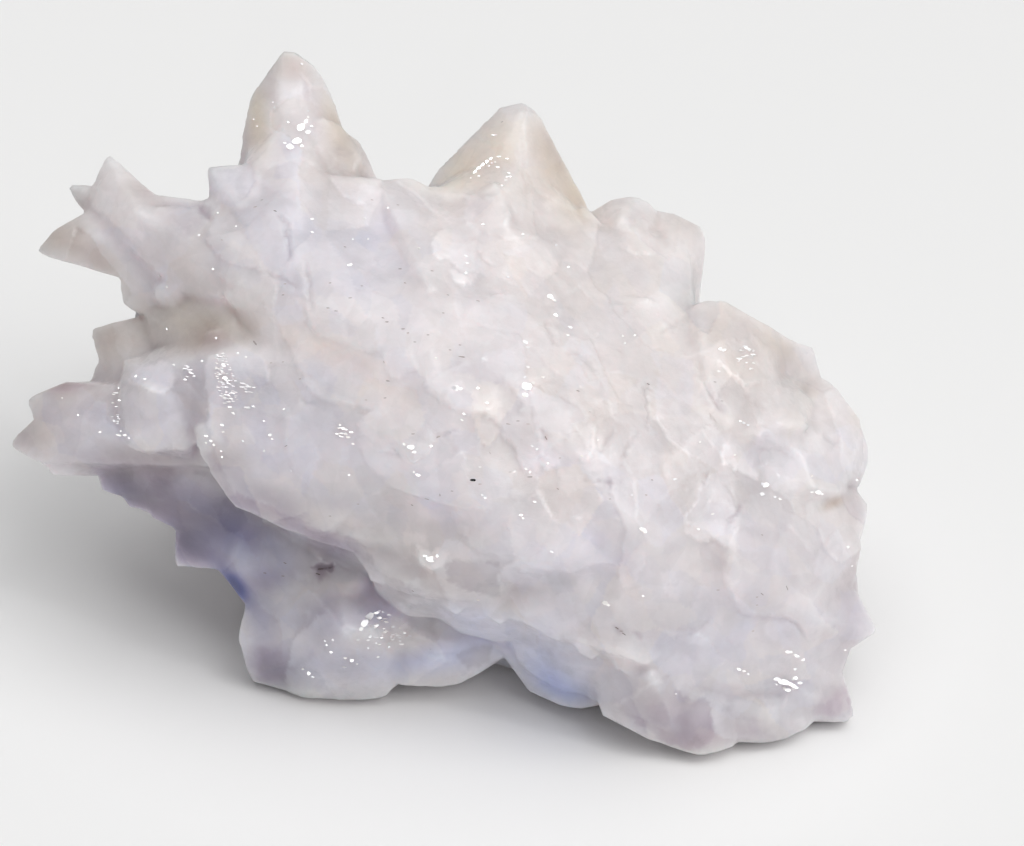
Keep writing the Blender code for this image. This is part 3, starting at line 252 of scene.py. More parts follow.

# single faces, some lighter and some darker: partly painted light and shade (lit facets, painted shade under
# overhangs), partly the plates' own tone: (lightness, softness, corners); lightness 1 is a tenth lighter
FACES = (
    (0.8, 2.5, ((285, 204), (303, 208), (300, 236), (288, 236))),
    (1.4, 3.0, ((445, 228), (437, 235), (431, 243), (432, 252), (438, 257), (447, 259), (462, 268), (470, 258), (462, 240))),
    (1.6, 2.0, ((448, 270), (478, 273), (474, 280), (466, 285), (456, 283))),
    (0.9, 3.0, ((466, 197), (498, 201), (506, 226), (490, 232), (466, 226))),
    (1.2, 2.0, ((544, 292), (558, 296), (556, 306), (545, 304))),
    (1.1, 2.0, ((551, 309), (561, 311), (559, 321), (551, 319))),
    (1.1, 2.0, ((521, 336), (531, 338), (530, 348), (522, 347))),
    (1.2, 2.5, ((430, 349), (440, 352), (441, 376), (433, 375))),
    (-1.2, 2.5, ((496, 379), (506, 384), (521, 401), (520, 418), (504, 418), (499, 400))),
    (1.6, 2.5, ((521, 382), (538, 380), (536, 392), (527, 402), (520, 398))),
    (1.3, 2.0, ((450, 383), (461, 380), (466, 391), (451, 393))),
    (1.6, 1.6, ((400, 440), (421, 441), (419, 452), (410, 461), (403, 456))),
    (0.9, 2.0, ((421, 441), (431, 446), (429, 453), (420, 452))),
    (1.0, 2.0, ((539, 461), (556, 458), (562, 466), (541, 467))),
    (-0.7, 3.0, ((540, 469), (556, 470), (561, 492), (552, 497), (538, 486))),
    (1.3, 2.5, ((577, 452), (590, 444), (594, 425), (603, 424), (604, 446), (591, 462), (581, 464))),
    (0.8, 2.5, ((606, 371), (620, 373), (622, 385), (611, 384))),
    (1.0, 2.0, ((620, 378), (633, 381), (631, 393), (621, 390))),
    (0.9, 2.0, ((627, 390), (640, 389), (640, 400), (629, 401))),
    (-0.8, 3.0, ((598, 380), (608, 384), (618, 396), (606, 402), (598, 394))),
    (0.9, 2.5, ((653, 400), (661, 402), (660, 421), (653, 419))),
    (-0.9, 4.0, ((652, 424), (690, 426), (682, 444), (668, 457), (652, 452))),
    (1.0, 2.5, ((697, 318), (706, 318), (707, 342), (698, 343))),
    (0.8, 6.0, ((660, 246), (682, 254), (684, 298), (664, 302))),
    (1.4, 2.0, ((727, 441), (745, 455), (757, 468), (758, 479), (740, 474), (733, 466), (722, 463), (722, 450))),
    (-0.7, 4.0, ((655, 504), (688, 506), (690, 525), (660, 526))),
    (3.6, 1.6, ((415, 546), (430, 551), (442, 549), (447, 556), (445, 563), (431, 571), (424, 566), (419, 557))),
    (1.2, 2.5, ((398, 535), (424, 535), (427, 544), (404, 545))),
    (-2.7, 2.0, ((446, 560), (499, 562), (499, 596), (470, 592), (448, 580))),
    (1.3, 1.8, ((460, 525), (468, 525), (467, 534), (461, 532))),
    (-1.1, 3.0, ((545, 573), (581, 574), (578, 586), (550, 584))),
    (-1.1, 3.0, ((592, 567), (619, 567), (621, 598), (606, 600), (596, 588))),
    (1.1, 2.0, ((660, 570), (677, 571), (676, 581), (661, 580))),
    (1.1, 2.0, ((662, 582), (678, 584), (677, 596), (663, 595))),
    (1.0, 3.0, ((684, 520), (735, 522), (731, 543), (715, 540), (700, 540), (686, 532))),
    (0.8, 2.5, ((729, 580), (742, 580), (742, 602), (733, 602))),
    (1.1, 2.5, ((785, 477), (800, 476), (801, 490), (786, 491))),
    (1.0, 2.5, ((843, 540), (858, 541), (857, 556), (844, 555))),
    (0.9, 2.5, ((766, 622), (778, 620), (785, 630), (778, 641), (768, 634))),
    (-0.4, 2.5, ((756, 622), (765, 621), (767, 634), (776, 642), (762, 643))),
    (-0.3, 2.0, ((575, 647), (592, 650), (645, 662), (645, 682), (612, 707), (598, 700), (592, 690))),
    (-1.0, 2.5, ((720, 703), (733, 703), (732, 710), (721, 710))),
    (-1.8, 2.0, ((615, 707), (671, 675), (682, 697), (712, 700), (710, 715), (716, 735), (699, 752), (662, 742), (649, 732))),
    (-0.8, 3.0, ((745, 718), (760, 719), (759, 736), (747, 734))),
    (0.9, 2.5, ((768, 705), (780, 706), (779, 736), (769, 735))),
    (-1.0, 2.5, ((832, 684), (848, 683), (850, 699), (834, 701))),
    (-1.0, 2.5, ((812, 703), (832, 702), (831, 717), (813, 719))),
    (1.1, 2.0, ((840, 695), (848, 696), (847, 715), (840, 714))),
    (1.0, 2.0, ((805, 692), (820, 693), (819, 705), (806, 704))),
    (-1.4, 3.0, ((522, 634), (546, 645), (560, 664), (573, 668), (572, 680), (552, 668), (535, 650), (521, 641))),
    (1.3, 4.0, ((504, 645), (540, 644), (542, 658), (520, 662), (505, 658))),
    (0.3, 2.5, ((650, 666), (660, 668), (659, 682), (651, 681))),
    (-1.2, 2.0, ((586, 690), (600, 691), (599, 700), (587, 699))),
    (1.2, 2.0, ((548, 628), (562, 632), (560, 642), (549, 640))),
    (1.0, 2.0, ((576, 635), (590, 640), (586, 650), (575, 647))),
    (1.1, 2.0, ((611, 646), (626, 651), (624, 661), (612, 658))),
    (-2.8, 2.5, ((456, 656), (476, 646), (492, 648), (488, 662), (466, 670))),
    (-0.9, 2.0, ((562, 634), (574, 638), (572, 648), (561, 644))),
    (-0.8, 2.0, ((592, 644), (606, 648), (604, 660), (591, 655))),
    # left
    (2.4, 2.5, ((128, 378), (140, 367), (162, 361), (172, 366), (176, 378), (170, 388), (162, 393), (135, 385))),
    (1.4, 3.5, ((133, 440), (135, 430), (165, 420), (178, 410), (188, 425), (185, 440), (170, 448), (150, 452))),
    (-0.8, 3.0, ((192, 376), (205, 380), (206, 440), (203, 462), (192, 440))),
    (0.9, 2.5, ((207, 356), (222, 352), (226, 372), (222, 400), (224, 440), (212, 440), (207, 400))),
    (-1.2, 6.0, ((190, 326), (240, 330), (243, 338), (222, 349), (205, 356), (196, 362))),
    (2.2, 4.0, ((92, 186), (106, 190), (122, 216), (144, 232), (140, 240), (112, 222), (94, 208))),
    (-1.6, 2.5, ((70, 187), (90, 194), (92, 212), (82, 208))),
    (0.9, 2.5, ((153, 262), (163, 266), (165, 280), (156, 276))),
    (0.9, 3.0, ((155, 284), (182, 286), (184, 303), (160, 304))),
    (0.9, 3.0, ((190, 224), (203, 226), (202, 241), (191, 239))),
    (-1.5, 2.5, ((192, 203), (212, 206), (213, 221), (200, 218))),
    (1.0, 2.5, ((214, 171), (238, 172), (237, 200), (216, 201))),
    (-1.0, 4.0, ((262, 84), (272, 90), (262, 138), (248, 142), (250, 108))),
    (1.0, 5.0, ((277, 80), (300, 82), (302, 114), (279, 115))),
    (-1.9, 5.0, ((330, 145), (352, 152), (368, 178), (340, 176), (328, 165))),
    (0.8, 3.0, ((332, 179), (345, 174), (356, 180), (372, 178), (380, 196), (365, 206), (345, 197))),
    (-0.9, 2.5, ((262, 168), (280, 166), (279, 178), (264, 178))),
    (0.9, 3.0, ((244, 169), (262, 170), (261, 197), (245, 198))),
    (-1.1, 5.0, ((474, 148), (462, 190), (440, 186), (452, 168))),
    (-1.0, 4.0, ((540, 116), (550, 124), (574, 176), (588, 212), (576, 210), (556, 170), (541, 132))),
    (1.3, 3.0, ((546, 197), (558, 197), (559, 208), (547, 208))),
    (-0.8, 3.0, ((773, 346), (795, 350), (798, 366), (790, 389), (783, 390), (775, 371))),
    (-0.8, 2.5, ((800, 385), (810, 385), (810, 394), (801, 394))),
    (1.0, 5.0, ((800, 396), (824, 397), (823, 420), (802, 421))),
    (1.0, 4.0, ((805, 430), (822, 431), (821, 455), (806, 454))),
    (-0.7, 6.0, ((710, 318), (748, 320), (752, 336), (712, 339))),
    # lower left
    (1.2, 2.5, ((294, 571), (312, 573), (311, 581), (296, 580))),
    (0.7, 6.0, ((245, 592), (302, 592), (298, 630), (270, 652), (247, 648))),
    (-1.2, 5.0, ((258, 650), (290, 652), (288, 690), (262, 684))),
    (1.0, 3.0, ((322, 672), (338, 673), (337, 688), (323, 688))),
    (-1.2, 4.0, ((382, 585), (410, 588), (408, 606), (384, 603))),
    (-1.0, 6.0, ((402, 604), (440, 604), (438, 640), (410, 638))),
    (-1.0, 3.0, ((310, 604), (326, 606), (324, 619), (311, 617))),
    (0.8, 4.0, ((262, 538), (286, 539), (284, 546), (263, 545))),
    (-0.3, 4.0, ((262, 570), (290, 564), (288, 582), (266, 580))),
    (0.7, 4.0, ((104, 456), (215, 458), (214, 469), (108, 470))),
    (-1.2, 6.0, ((225, 488), (262, 505), (302, 520), (298, 534), (252, 520), (226, 502))),
    (-1.0, 2.5, ((388, 379), (404, 378), (400, 385), (390, 384))),
    (-1.3, 2.0, ((395, 450), (402, 452), (404, 458), (396, 458))),
    (-1.0, 2.0, ((479, 414), (490, 418), (488, 423), (480, 420))),
    (-0.8, 4.0, ((545, 385), (570, 384), (572, 410), (548, 412))),
    (-0.7, 4.0, ((575, 380), (598, 392), (596, 410), (578, 404))),
    (-1.2, 2.5, ((584, 473), (594, 475), (592, 482), (585, 480))),
    (-1.0, 3.0, ((606, 478), (622, 478), (620, 486), (608, 487))),
)

# broad soft tones, mostly painted light and shade (lighter where light falls, darker where shade falls, a painted
# bluish tint in the shade) with some of the crystal's own hues: (lightness, warmth, centre across and down, reach along
# and over, turn in degrees)
TONES = (
    # tall upper left crystal and the lump on its right
    (-2.8, 0.45, 292, 64, 22, 20, 0), (3.8, 0.65, 258, 130, 14, 30, 0), (0.0, 0.60, 252, 100, 12, 20, 0), (-1.0, 0.70, 338, 125, 14, 40, -15),
    (-1.0, 0.00, 305, 95, 16, 20, 0),
    (-0.2, -0.12, 300, 135, 16, 24, 0), (0.0, 0.0, 290, 165, 40, 12, 0),
    # broad top crystal
    (1.8, 0.60, 462, 160, 24, 24, -30), (3.9, 0.50, 498, 145, 24, 32, 0), (-1.4, 0.80, 556, 160, 22, 50, -25),
    (0.6, 0.10, 505, 185, 40, 16, 0),
    (-0.6, 0.60, 580, 195, 14, 20, 0), (2.6, 0.32, 446, 184, 34, 11, 0), (1.0, 0.0, 576, 182, 10, 16, 0), (0.6, 0.10, 425, 222, 30, 20, 0), (0.6, 0.0, 520, 302, 40, 18, 0), (0.5, -0.12, 565, 340, 34, 18, 0), (-0.4, 0.0, 345, 300, 30, 16, 0),
    # far left crystals
    (-1.8, 0.45, 62, 235, 30, 22, -10), (-1.5, 0.25, 100, 262, 30, 16, 25), (-1.8, 0.35, 145, 190, 30, 18, 30), (1.5, 0.0, 62, 262, 24, 12, 0), (1.2, -0.05, 120, 200, 14, 28, -25),
    (-1.6, -0.10, 182, 224, 26, 20, 0),
    (-1.6, 0.45, 115, 338, 40, 24, 0), (0.0, -0.22, 125, 418, 44, 22, 0), (-1.6, 0.60, 200, 322, 46, 20, 10), (-1.6, 0.45, 204, 342, 34, 13, -12), (0.1, -0.20, 174, 294, 16, 12, 0), (1.8, -0.12, 222, 300, 16, 12, 0), (0.6, -0.18, 222, 262, 16, 18, 0), (-0.4, 0.0, 224, 345, 14, 8, 0),
    (-4.9, 0.50, 60, 382, 32, 16, 0), (-1.2, 0.05, 100, 385, 20, 22, 0), (-1.5, -0.10, 160, 385, 40, 26, 0),
    (-1.6, 0.00, 190, 425, 14, 36, 0), (-0.6, 0.06, 184, 430, 22, 50, 0), (-2.3, 0.02, 20, 432, 20, 22, 0), (0.8, 0.0, 66, 428, 36, 16, 0), (-0.5, -0.05, 70, 450, 50, 20, 0),
    (-2.4, 0.32, 150, 462, 64, 14, 0), (-1.7, 0.0, 230, 462, 24, 16, 0), (-0.7, 0.0, 240, 500, 34, 12, 22),
    # the shelf in the shade under them
    (-4.4, -0.35, 175, 505, 75, 34, 22), (-1.7, -0.70, 225, 540, 40, 26, 25), (-0.9, -0.40, 265, 550, 40, 20, 25), (-2.0, 0.10, 140, 496, 40, 18, 30),
    (-4.2, -0.50, 185, 548, 34, 18, 40), (-2.5, -0.50, 118, 490, 26, 16, 30), (-6.0, -2.50, 234, 586, 22, 10, 52), (-2.7, -0.45, 264, 580, 24, 15, 0), (-0.8, -0.15, 214, 558, 24, 8, 15),
    (-2.9, -0.08, 275, 500, 34, 14, 25), (-3.5, -0.30, 326, 542, 44, 15, 22), (-2.5, 0.02, 322, 572, 24, 14, 0), (0.4, -0.20, 366, 588, 16, 14, 0), (1.6, 0.10, 345, 588, 30, 10, 0),
    # lower left crystals
    (-2.4, -0.55, 262, 620, 24, 36, 0), (-3.1, -0.35, 268, 666, 26, 22, 0), (-2.1, -0.42, 328, 622, 32, 22, 0),
    (-1.2, -0.50, 350, 665, 60, 20, 0), (0.6, -0.85, 430, 660, 40, 14, -10), (0.2, 0.20, 488, 655, 20, 12, 0), (-0.8, 0.0, 382, 700, 26, 12, 0), (3.2, -0.32, 386, 618, 30, 16, 0), (2.2, 0.20, 302, 696, 24, 8, 0),
    (-0.8, 0.15, 430, 560, 80, 26, 18),
    # bottom
    (1.0, -0.50, 530, 655, 60, 26, 15), (0.0, -0.98, 556, 686, 30, 16, 25), (-0.3, -0.35, 582, 700, 20, 12, 0), (1.0, 0.20, 590, 655, 30, 16, 20), (2.2, 0.0, 625, 658, 20, 12, 20), (0.9, 0.0, 560, 622, 50, 14, 18), (0.6, -0.35, 475, 620, 50, 16, 15), 
    # the middle mass
    (-0.8, -0.12, 290, 240, 90, 50, 20), (0.2, -0.15, 370, 270, 110, 70, 25), (0.2, -0.18, 350, 440, 90, 60, 20),
    (2.0, 0.08, 325, 347, 44, 14, 20), (1.7, 0.22, 375, 384, 36, 24, 30), (0.0, 0.14, 318, 348, 56, 16, 25), (0.5, -0.10, 280, 312, 24, 24, 0), (0.0, -0.20, 270, 425, 46, 56, 0), (-1.6, 0.0, 262, 384, 22, 20, 0), (1.2, 0.0, 385, 240, 22, 40, 0), (1.9, 0.10, 378, 435, 30, 26, 0), (1.4, 0.00, 405, 464, 50, 16, 0), (0.8, 0.0, 300, 460, 26, 18, 0), (0.9, 0.0, 465, 490, 24, 20, 0), (-1.6, -0.2, 340, 503, 26, 14, 20),
    (2.9, -0.08, 436, 506, 46, 18, 14), (1.3, -0.04, 445, 543, 44, 14, 15), (1.6, -0.12, 580, 564, 56, 18, 5), (1.0, 0.0, 715, 582, 40, 16, 0),
    (1.2, -0.05, 545, 465, 30, 18, 0), (-1.2, 0.02, 440, 590, 50, 14, 15),
    (1.0, 0.00, 660, 300, 26, 12, 0), (-1.2, 0.12, 575, 420, 54, 26, 0), (-1.6, -0.02, 490, 376, 46, 22, 10), (-1.0, -0.06, 622, 486, 22, 26, 0), (-0.7, 0.0, 522, 500, 30, 16, 20),
    # right
    (0.2, 0.15, 740, 345, 60, 40, 40), (0.0, 0.22, 670, 225, 60, 30, 15), (0.1, 0.22, 705, 300, 26, 20, 0), (-0.5, 0.30, 782, 345, 18, 14, 40), (-1.2, 0.08, 735, 392, 56, 40, 20), (-0.2, 0.05, 780, 500, 30, 18, 0), (-0.7, 0.02, 782, 442, 26, 26, 0), (1.2, -0.12, 582, 540, 20, 12, 0), (-0.5, 0.0, 502, 240, 14, 28, 0), (-0.5, 0.0, 700, 240, 10, 30, 0), (-0.9, 0.02, 740, 540, 26, 20, 0), (0.0, -0.14, 760, 640, 60, 30, 0),
    (0.0, 0.12, 620, 320, 260, 150, 20), (-0.2, 0.22, 820, 395, 28, 44, 10), (-0.8, 0.15, 852, 500, 12, 30, 0),
    (-1.8, 0.20, 698, 218, 22, 18, 0), (-0.9, -0.02, 845, 560, 20, 90, 0), (-0.9, 0.00, 765, 560, 70, 60, 0), (-0.8, 0.02, 700, 500, 50, 30, 0),
    (-1.4, 0.02, 855, 640, 16, 60, 0), (-1.8, -0.14, 690, 724, 70, 24, 0), (-2.0, 0.02, 780, 736, 60, 16, 0), (-1.3, -0.05, 700, 694, 20, 10, 0), (-0.9, 0.0, 860, 500, 10, 60, 0), (-0.3, -0.15, 795, 628, 40, 22, 0),
    (-1.4, -0.04, 650, 635, 46, 30, 0), (-1.0, -0.06, 650, 690, 34, 24, 0), (-3.3, 0.00, 838, 706, 28, 20, 0), (-1.8, 0.60, 834, 503, 12, 5, -20),
    (-0.8, 0.05, 664, 705, 26, 22, 0), (-0.9, 0.08, 728, 720, 12, 14, 0), (-1.9, 0.0, 688, 743, 50, 10, 0), (-0.7, 0.35, 858, 420, 10, 22, 0), (-0.5, 0.0, 702, 462, 22, 16, 0),
)

# where the crystal is clearer: (amount, centre across and down, reach along and over, turn in degrees)
CLEAR = (
    (0.2, 515, 150, 60, 60, 0), (0.2, 255, 110, 18, 50, 10), (0.5, 348, 155, 30, 28, 40), (0.4, 55, 240, 32, 26, -20),
    (0.4, 80, 195, 16, 16, 0), (0.3, 110, 335, 30, 26, 0), (0.35, 50, 420, 44, 34, 0), (0.3, 180, 325, 60, 20, 0),
    (0.3, 770, 345, 60, 22, 35), (0.3, 270, 670, 26, 24, 0), (0.3, 365, 630, 60, 50, 0),
)

# ---------------------------------------------------------------- small bright crystal faces: (across, down, size)
GLINTS = (
    (340, 425, 2.0), (346, 434, 3.0), (348, 437, 3.0), (353, 444, 2.0), (349, 475, 2.6),
    (211, 441, 2.6), (214, 445, 3.0), (222, 425, 2.8), (223, 432, 1.8), (221, 451, 2.0), (222, 457, 2.0), (206, 436, 2.0),
    (243, 441, 2.2), (264, 421, 2.0), (270, 435, 2.6), (272, 439, 2.2), (340, 436, 2.2), (345, 434, 2.2),
    (284, 409, 2.2), (238, 353, 2.0), (246, 357, 2.4), (233, 413, 2.8), (291, 471, 1.6), (264, 451, 3.0),
    # the tall upper left crystal and the broad top one
    (308, 111, 2.5), (308, 117, 2.2), (273, 102, 2.2), (274, 107, 2.0), (254, 119, 2.2), (257, 126, 2.2), (302, 64, 2.2),
    (496, 135, 2.0), (507, 177, 2.4), (492, 163, 2.2),
    # upper left plates
    (388, 208, 2.2), (365, 218, 2.2), (312, 219, 2.4), (312, 232, 2.2), (353, 239, 2.0), (368, 239, 2.0), (350, 265, 3.6),
    (218, 213, 2.2), (199, 235, 2.6), (213, 269, 2.4), (167, 287, 2.4), (160, 276, 2.6), (236, 226, 1.8),
    # top and middle
    (483, 224, 2.4), (523, 234, 2.6), (556, 245, 2.4), (408, 230, 2.0), (419, 248, 2.0), (466, 256, 2.6), (467, 263, 2.6),
    (466, 273, 3.0), (568, 267, 2.6), (508, 277, 2.4), (550, 297, 4.0), (554, 300, 3.0), (556, 315, 3.6), (570, 327, 3.2),
    (568, 335, 2.6), (525, 342, 4.0), (528, 347, 3.0), (623, 336, 2.6), (635, 335, 2.4), (625, 343, 2.6),
    (455, 388, 4.4), (460, 389, 3.4), (464, 414, 3.0), (487, 403, 3.0), (527, 388, 5.0), (533, 383, 4.0), (525, 396, 3.6),
    (528, 367, 3.0), (525, 377, 2.4), (543, 377, 3.0), (478, 388, 2.4), (436, 358, 2.6), (462, 420, 2.0),
    (418, 475, 3.4), (414, 472, 2.2), (485, 498, 2.6), (482, 495, 2.2), (480, 467, 2.2), (404, 444, 3.0), (411, 447, 4.0),
    (414, 452, 3.0), (431, 446, 2.4), (532, 446, 2.4), (537, 449, 2.2), (526, 469, 2.8), (530, 472, 2.4),
    (521, 515, 2.6), (523, 518, 2.4), (535, 502, 2.4), (632, 495, 2.4), (675, 479, 2.4), (713, 514, 2.4), (698, 529, 2.6),
    (642, 529, 3.6), (645, 532, 2.8), (605, 603, 4.4), (608, 605, 3.0), (552, 552, 2.4), (643, 596, 2.4), (478, 600, 2.2),
    (582, 456, 2.6), (598, 440, 2.0), (548, 463, 2.0), (430, 560, 4.0), (437, 556, 3.0), (425, 556, 2.6),
    # right
    (720, 349, 3.4), (724, 350, 3.0), (749, 350, 3.0), (753, 351, 2.6), (750, 369, 2.6), (739, 361, 2.4), (719, 371, 2.2),
    (740, 421, 2.4), (744, 423, 2.6), (748, 425, 2.4), (763, 484, 4.0), (767, 485, 3.4), (762, 494, 3.0), (780, 499, 3.0),
    (775, 497, 2.4), (817, 493, 2.8), (812, 492, 2.2), (822, 494, 2.2), (791, 652, 3.0), (795, 655, 2.8), (803, 660, 3.0),
    (795, 669, 3.2), (739, 669, 3.0), (748, 674, 3.0), (744, 671, 2.4), (845, 650, 2.4), (676, 694, 2.4),
    (778, 678, 4.0), (784, 681, 5.0), (790, 684, 5.0), (795, 688, 4.4), (784, 688, 3.6), (776, 684, 3.0), (793, 679, 3.0),
    (848, 547, 3.0), (852, 566, 2.2), (857, 480, 2.2), (812, 476, 2.0), (700, 442, 2.0), (735, 455, 2.2),
    # left
    (136, 376, 3.0), (145, 379, 2.6), (119, 388, 2.6), (113, 403, 2.4), (114, 421, 3.0), (118, 423, 2.4), (121, 431, 2.6),
    (125, 435, 3.0), (129, 438, 2.4), (174, 365, 2.6), (188, 367, 3.0), (190, 372, 2.4), (194, 376, 2.6), (202, 361, 2.6),
    (216, 338, 3.0), (167, 329, 2.6), (206, 436, 2.4), (206, 443, 2.4), (100, 432, 2.0), (78, 415, 2.0), (62, 398, 2.0),
    # lower left
    (325, 641, 2.4), (333, 640, 2.4), (344, 667, 2.8), (313, 677, 2.4), (357, 664, 2.2), (371, 636, 2.4), (392, 640, 2.2),
    (358, 640, 2.0), (368, 648, 2.0), (400, 628, 2.2), (383, 612, 2.2),
)

# broader bright faces: (across, down, length, width, turn in degrees)
STROKES = (
    (301, 127, 12, 8, -40), (308, 132, 7, 5, -20), (306, 121, 6, 4, -60), (297, 141, 11, 7, -20), (290, 147, 10, 7, 20),
    (285, 143, 4, 2.5, 0), (288, 122, 3, 2, 0), (302, 146, 4, 3, 0), (312, 126, 3, 2, 0),
    (475, 172, 6, 3.6, -50), (478.5, 168.5, 6, 4.4, -45), (482.5, 165, 6.5, 4.4, -40), (487, 161.5, 5.5, 3.4, -40),
    (491, 158.5, 4.5, 2.8, -30), (499, 156.5, 6, 1.6, -5), (507, 158.5, 4, 1.6, 10), (498, 167, 4.5, 1.8, 10),
    (509, 173, 4.5, 1.8, 10), (510, 176.5, 3.5, 1.4, 0), (506, 180, 3, 1.3, 0), (479, 176, 4, 1.5, 0),
    (471, 178, 2.5, 1.3, 0), (502, 185.5, 3, 1.3, 0), (489, 166, 3, 1.3, 0), (495, 162, 3, 1.2, 0), (494, 135, 7, 1.4, 0),
    (224, 365, 6, 4.5, 20), (225, 378, 6.5, 3.6, -5), (230, 407, 5, 2, 5), (222, 371, 4, 2, 0),
    (364, 624, 13, 7, -50), (369, 617, 12, 7, -45), (376, 613, 8, 3.6, -20), (379, 618, 8, 3.2, -10), (376, 626, 7, 2.6, -20), (386, 622, 6, 2.4, 5),
    (384, 632, 4.5, 2, 0), (393, 627, 5, 2, 0), (397, 635, 4, 1.8, 0), (405, 633, 4, 1.8, 0), (389, 615, 5, 2.2, 0),
    (361, 629, 6, 4, -40), (376, 643, 4, 2, 0), (389, 647, 3.5, 2, 0), (378, 657, 3, 2, 0), (352, 660, 5, 4.4, 0),
    (400, 641, 3.5, 1.8, 0), (370, 637, 4, 2, 0), (391, 637, 3.5, 1.8, 0), (381, 638, 3, 1.6, 0), (396, 620, 4, 1.8, 0),
    (309, 673, 6, 4.4, -60), (303, 669, 4, 2.4, 0), (331, 652, 4, 3, 0), (327, 645, 3, 2.2, 0),
    (784, 682, 17, 6, 10), (777, 679, 9, 4, 0), (793, 686, 10, 5, 15), (788, 690, 8, 4, 0), (795, 678, 7, 3.5, 0),
    (800, 683, 6, 3, 0), (797, 656, 6, 3, 10), (788, 652, 6, 3, 0),
    (527, 386, 11, 9, 0), (525, 395, 7, 6, 0), (456, 388, 8, 6, 0), (550, 297, 7, 6, 0), (643, 530, 7, 4, 0),
    (605, 603, 7, 4, 10), (765, 485, 9, 5, -10), (762, 494, 7, 4, 0), (411, 447, 8, 5, 0), (431, 559, 10, 7, 0),
    (818, 492, 8, 5, 20), (345, 658, 4, 2.5, 0),
)

# fields of fine dashes: (count, smallest, largest, corners)
DASHES = (
    (130, 0.6, 1.25, ((215, 354), (226, 351), (230, 365), (237, 385), (238, 400), (226, 405), (218, 392), (215, 372))),
    (8, 1.2, 2.0, ((238, 382), (257, 386), (257, 394), (239, 393))),
    (4, 1.2, 2.0, ((244, 404), (256, 404), (256, 410), (244, 410))),
    (10, 1.2, 2.0, ((740, 345), (756, 347), (754, 372), (738, 366))),
    (34, 0.8, 1.7, ((368, 610), (392, 610), (408, 624), (412, 642), (386, 648), (366, 640))),
    (10, 1.2, 2.2, ((112, 385), (120, 384), (120, 436), (111, 425))),
    (8, 1.2, 2.0, ((336, 422), (352, 426), (352, 446), (338, 440))),
    (8, 1.2, 2.0, ((180, 362), (198, 364), (200, 380), (184, 380))),
)

# dark grains: (across, down, length, turn in degrees, darkness 0..1)
GRAINS = (
    (473, 480, 7.0, 0, 1.0), (222, 240, 3, 20, .4), (285, 284, 3, 0, .5), (283, 295, 3, 0, .5), (345, 247, 3, 30, .5),
    (350, 298, 4, 0, .5), (330, 283, 3, 0, .5), (328, 308, 4, 10, .4), (336, 311, 4, 10, .4), (362, 286, 3, 0, .5),
    (383, 318, 3, 20, .5), (387, 322, 4, 0, .6), (403, 329, 4, -10, .6), (408, 333, 3, 0, .5), (400, 269, 4, 0, .6),
    (405, 283, 3, 20, .5), (432, 271, 3, 0, .5), (448, 295, 3, 0, .5), (443, 313, 3, 0, .5), (478, 301, 4, 0, .5),
    (428, 335, 3, 0, .5), (415, 342, 3, 0, .5), (460, 345, 3, 0, .5), (450, 350, 3, 0, .5), (462, 357, 7, 2, .6),
    (440, 495, 3, 90, .5), (530, 477, 6, 0, .6), (578, 391, 4, 0, .6), (646, 495, 3, 0, .5), (652, 480, 3, 0, .5),
    (330, 516, 3, 0, .4), (358, 504, 3, 0, .4), (412, 505, 3, 20, .5), (255, 343, 9, 52, .5), (413, 434, 4, 0, .5),
    (438, 437, 6, -20, .4), (546, 438, 5, 60, .6), (508, 424, 5, 10, .4), (518, 421, 4, 0, .4), (528, 424, 4, 0, .4),
    (480, 484, 4, 0, .4), (452, 491, 3, 0, .4), (558, 489, 3, 30, .5), (648, 384, 4, 20, .8), (617, 628, 5, 30, .7),
    (624, 634, 5, 35, .7), (621, 631, 4, 0, .5), (762, 535, 3, 0, .5), (787, 588, 6, 60, .5), (762, 594, 5, 40, .5),
    (718, 590, 4, 0, .4), (757, 597, 3, 0, .4), (757, 605, 3, 0, .4), (753, 631, 3, 0, .4), (255, 207, 4, 0, .5),
    (262, 200, 3, 0, .4), (275, 211, 4, 30, .8), (372, 200, 3, 0, .4), (398, 205, 3, 0, .4), (502, 122, 3, 0, .4),
    (722, 401, 3, 0, .4), (715, 382, 3, 0, .4), (265, 573, 4, 0, .6), (285, 563, 4, 20, .6), (283, 576, 4, 0, .6),
    (321, 569, 8, 0, .8), (318, 574, 6, 20, .8), (330, 568, 4, 0, .7), (413, 591, 3, 90, .6), (283, 362, 3, 0, .4),
    (271, 363, 3, 0, .4), (300, 379, 3, 0, .4), (286, 446, 4, -20, .4), (384, 362, 3, 60, .4), (388, 381, 5, 10, .5),
    (385, 398, 3, 0, .4), (366, 400, 3, 0, .3), (490, 453, 3, 60, .3), (510, 472, 3, 0, .3), (427, 499, 5, 0, .4),
    (590, 412, 3, 0, .4), (560, 458, 3, 0, .4), (610, 499, 3, 0, .4),
)


# ---------------------------------------------------------------- smooth random fields
def lattice(ix, iy, iz, seed):
    h = (ix * 374761393 + iy * 668265263 + iz * 2147483647 + seed * 1274126177) & 0xFFFFFFFF
    h = ((h ^ (h >> 13)) * 1274126177) & 0xFFFFFFFF
    h = h ^ (h >> 16)
    return (h & 0xFFFF).astype(np.float64) / 32767.5 - 1.0


def noise(p, scale, seed):
    """Smooth noise in -1..1 at points p in mm; scale is mm for each lump."""
    q = p / scale
    i = np.floor(q).astype(np.int64)
    f = q - i
    f = f * f * f * (f * (f * 6 - 15) + 10)
    total = 0.0
    for dx in (0, 1):
        for dy in (0, 1):
            for dz in (0, 1):
                w = (f[:, 0] if dx else 1 - f[:, 0]) * (f[:, 1] if dy else 1 - f[:, 1]) * (f[:, 2] if dz else 1 - f[:, 2])
                total = total + w * lattice(i[:, 0] + dx, i[:, 1] + dy, i[:, 2] + dz, seed)
    return total


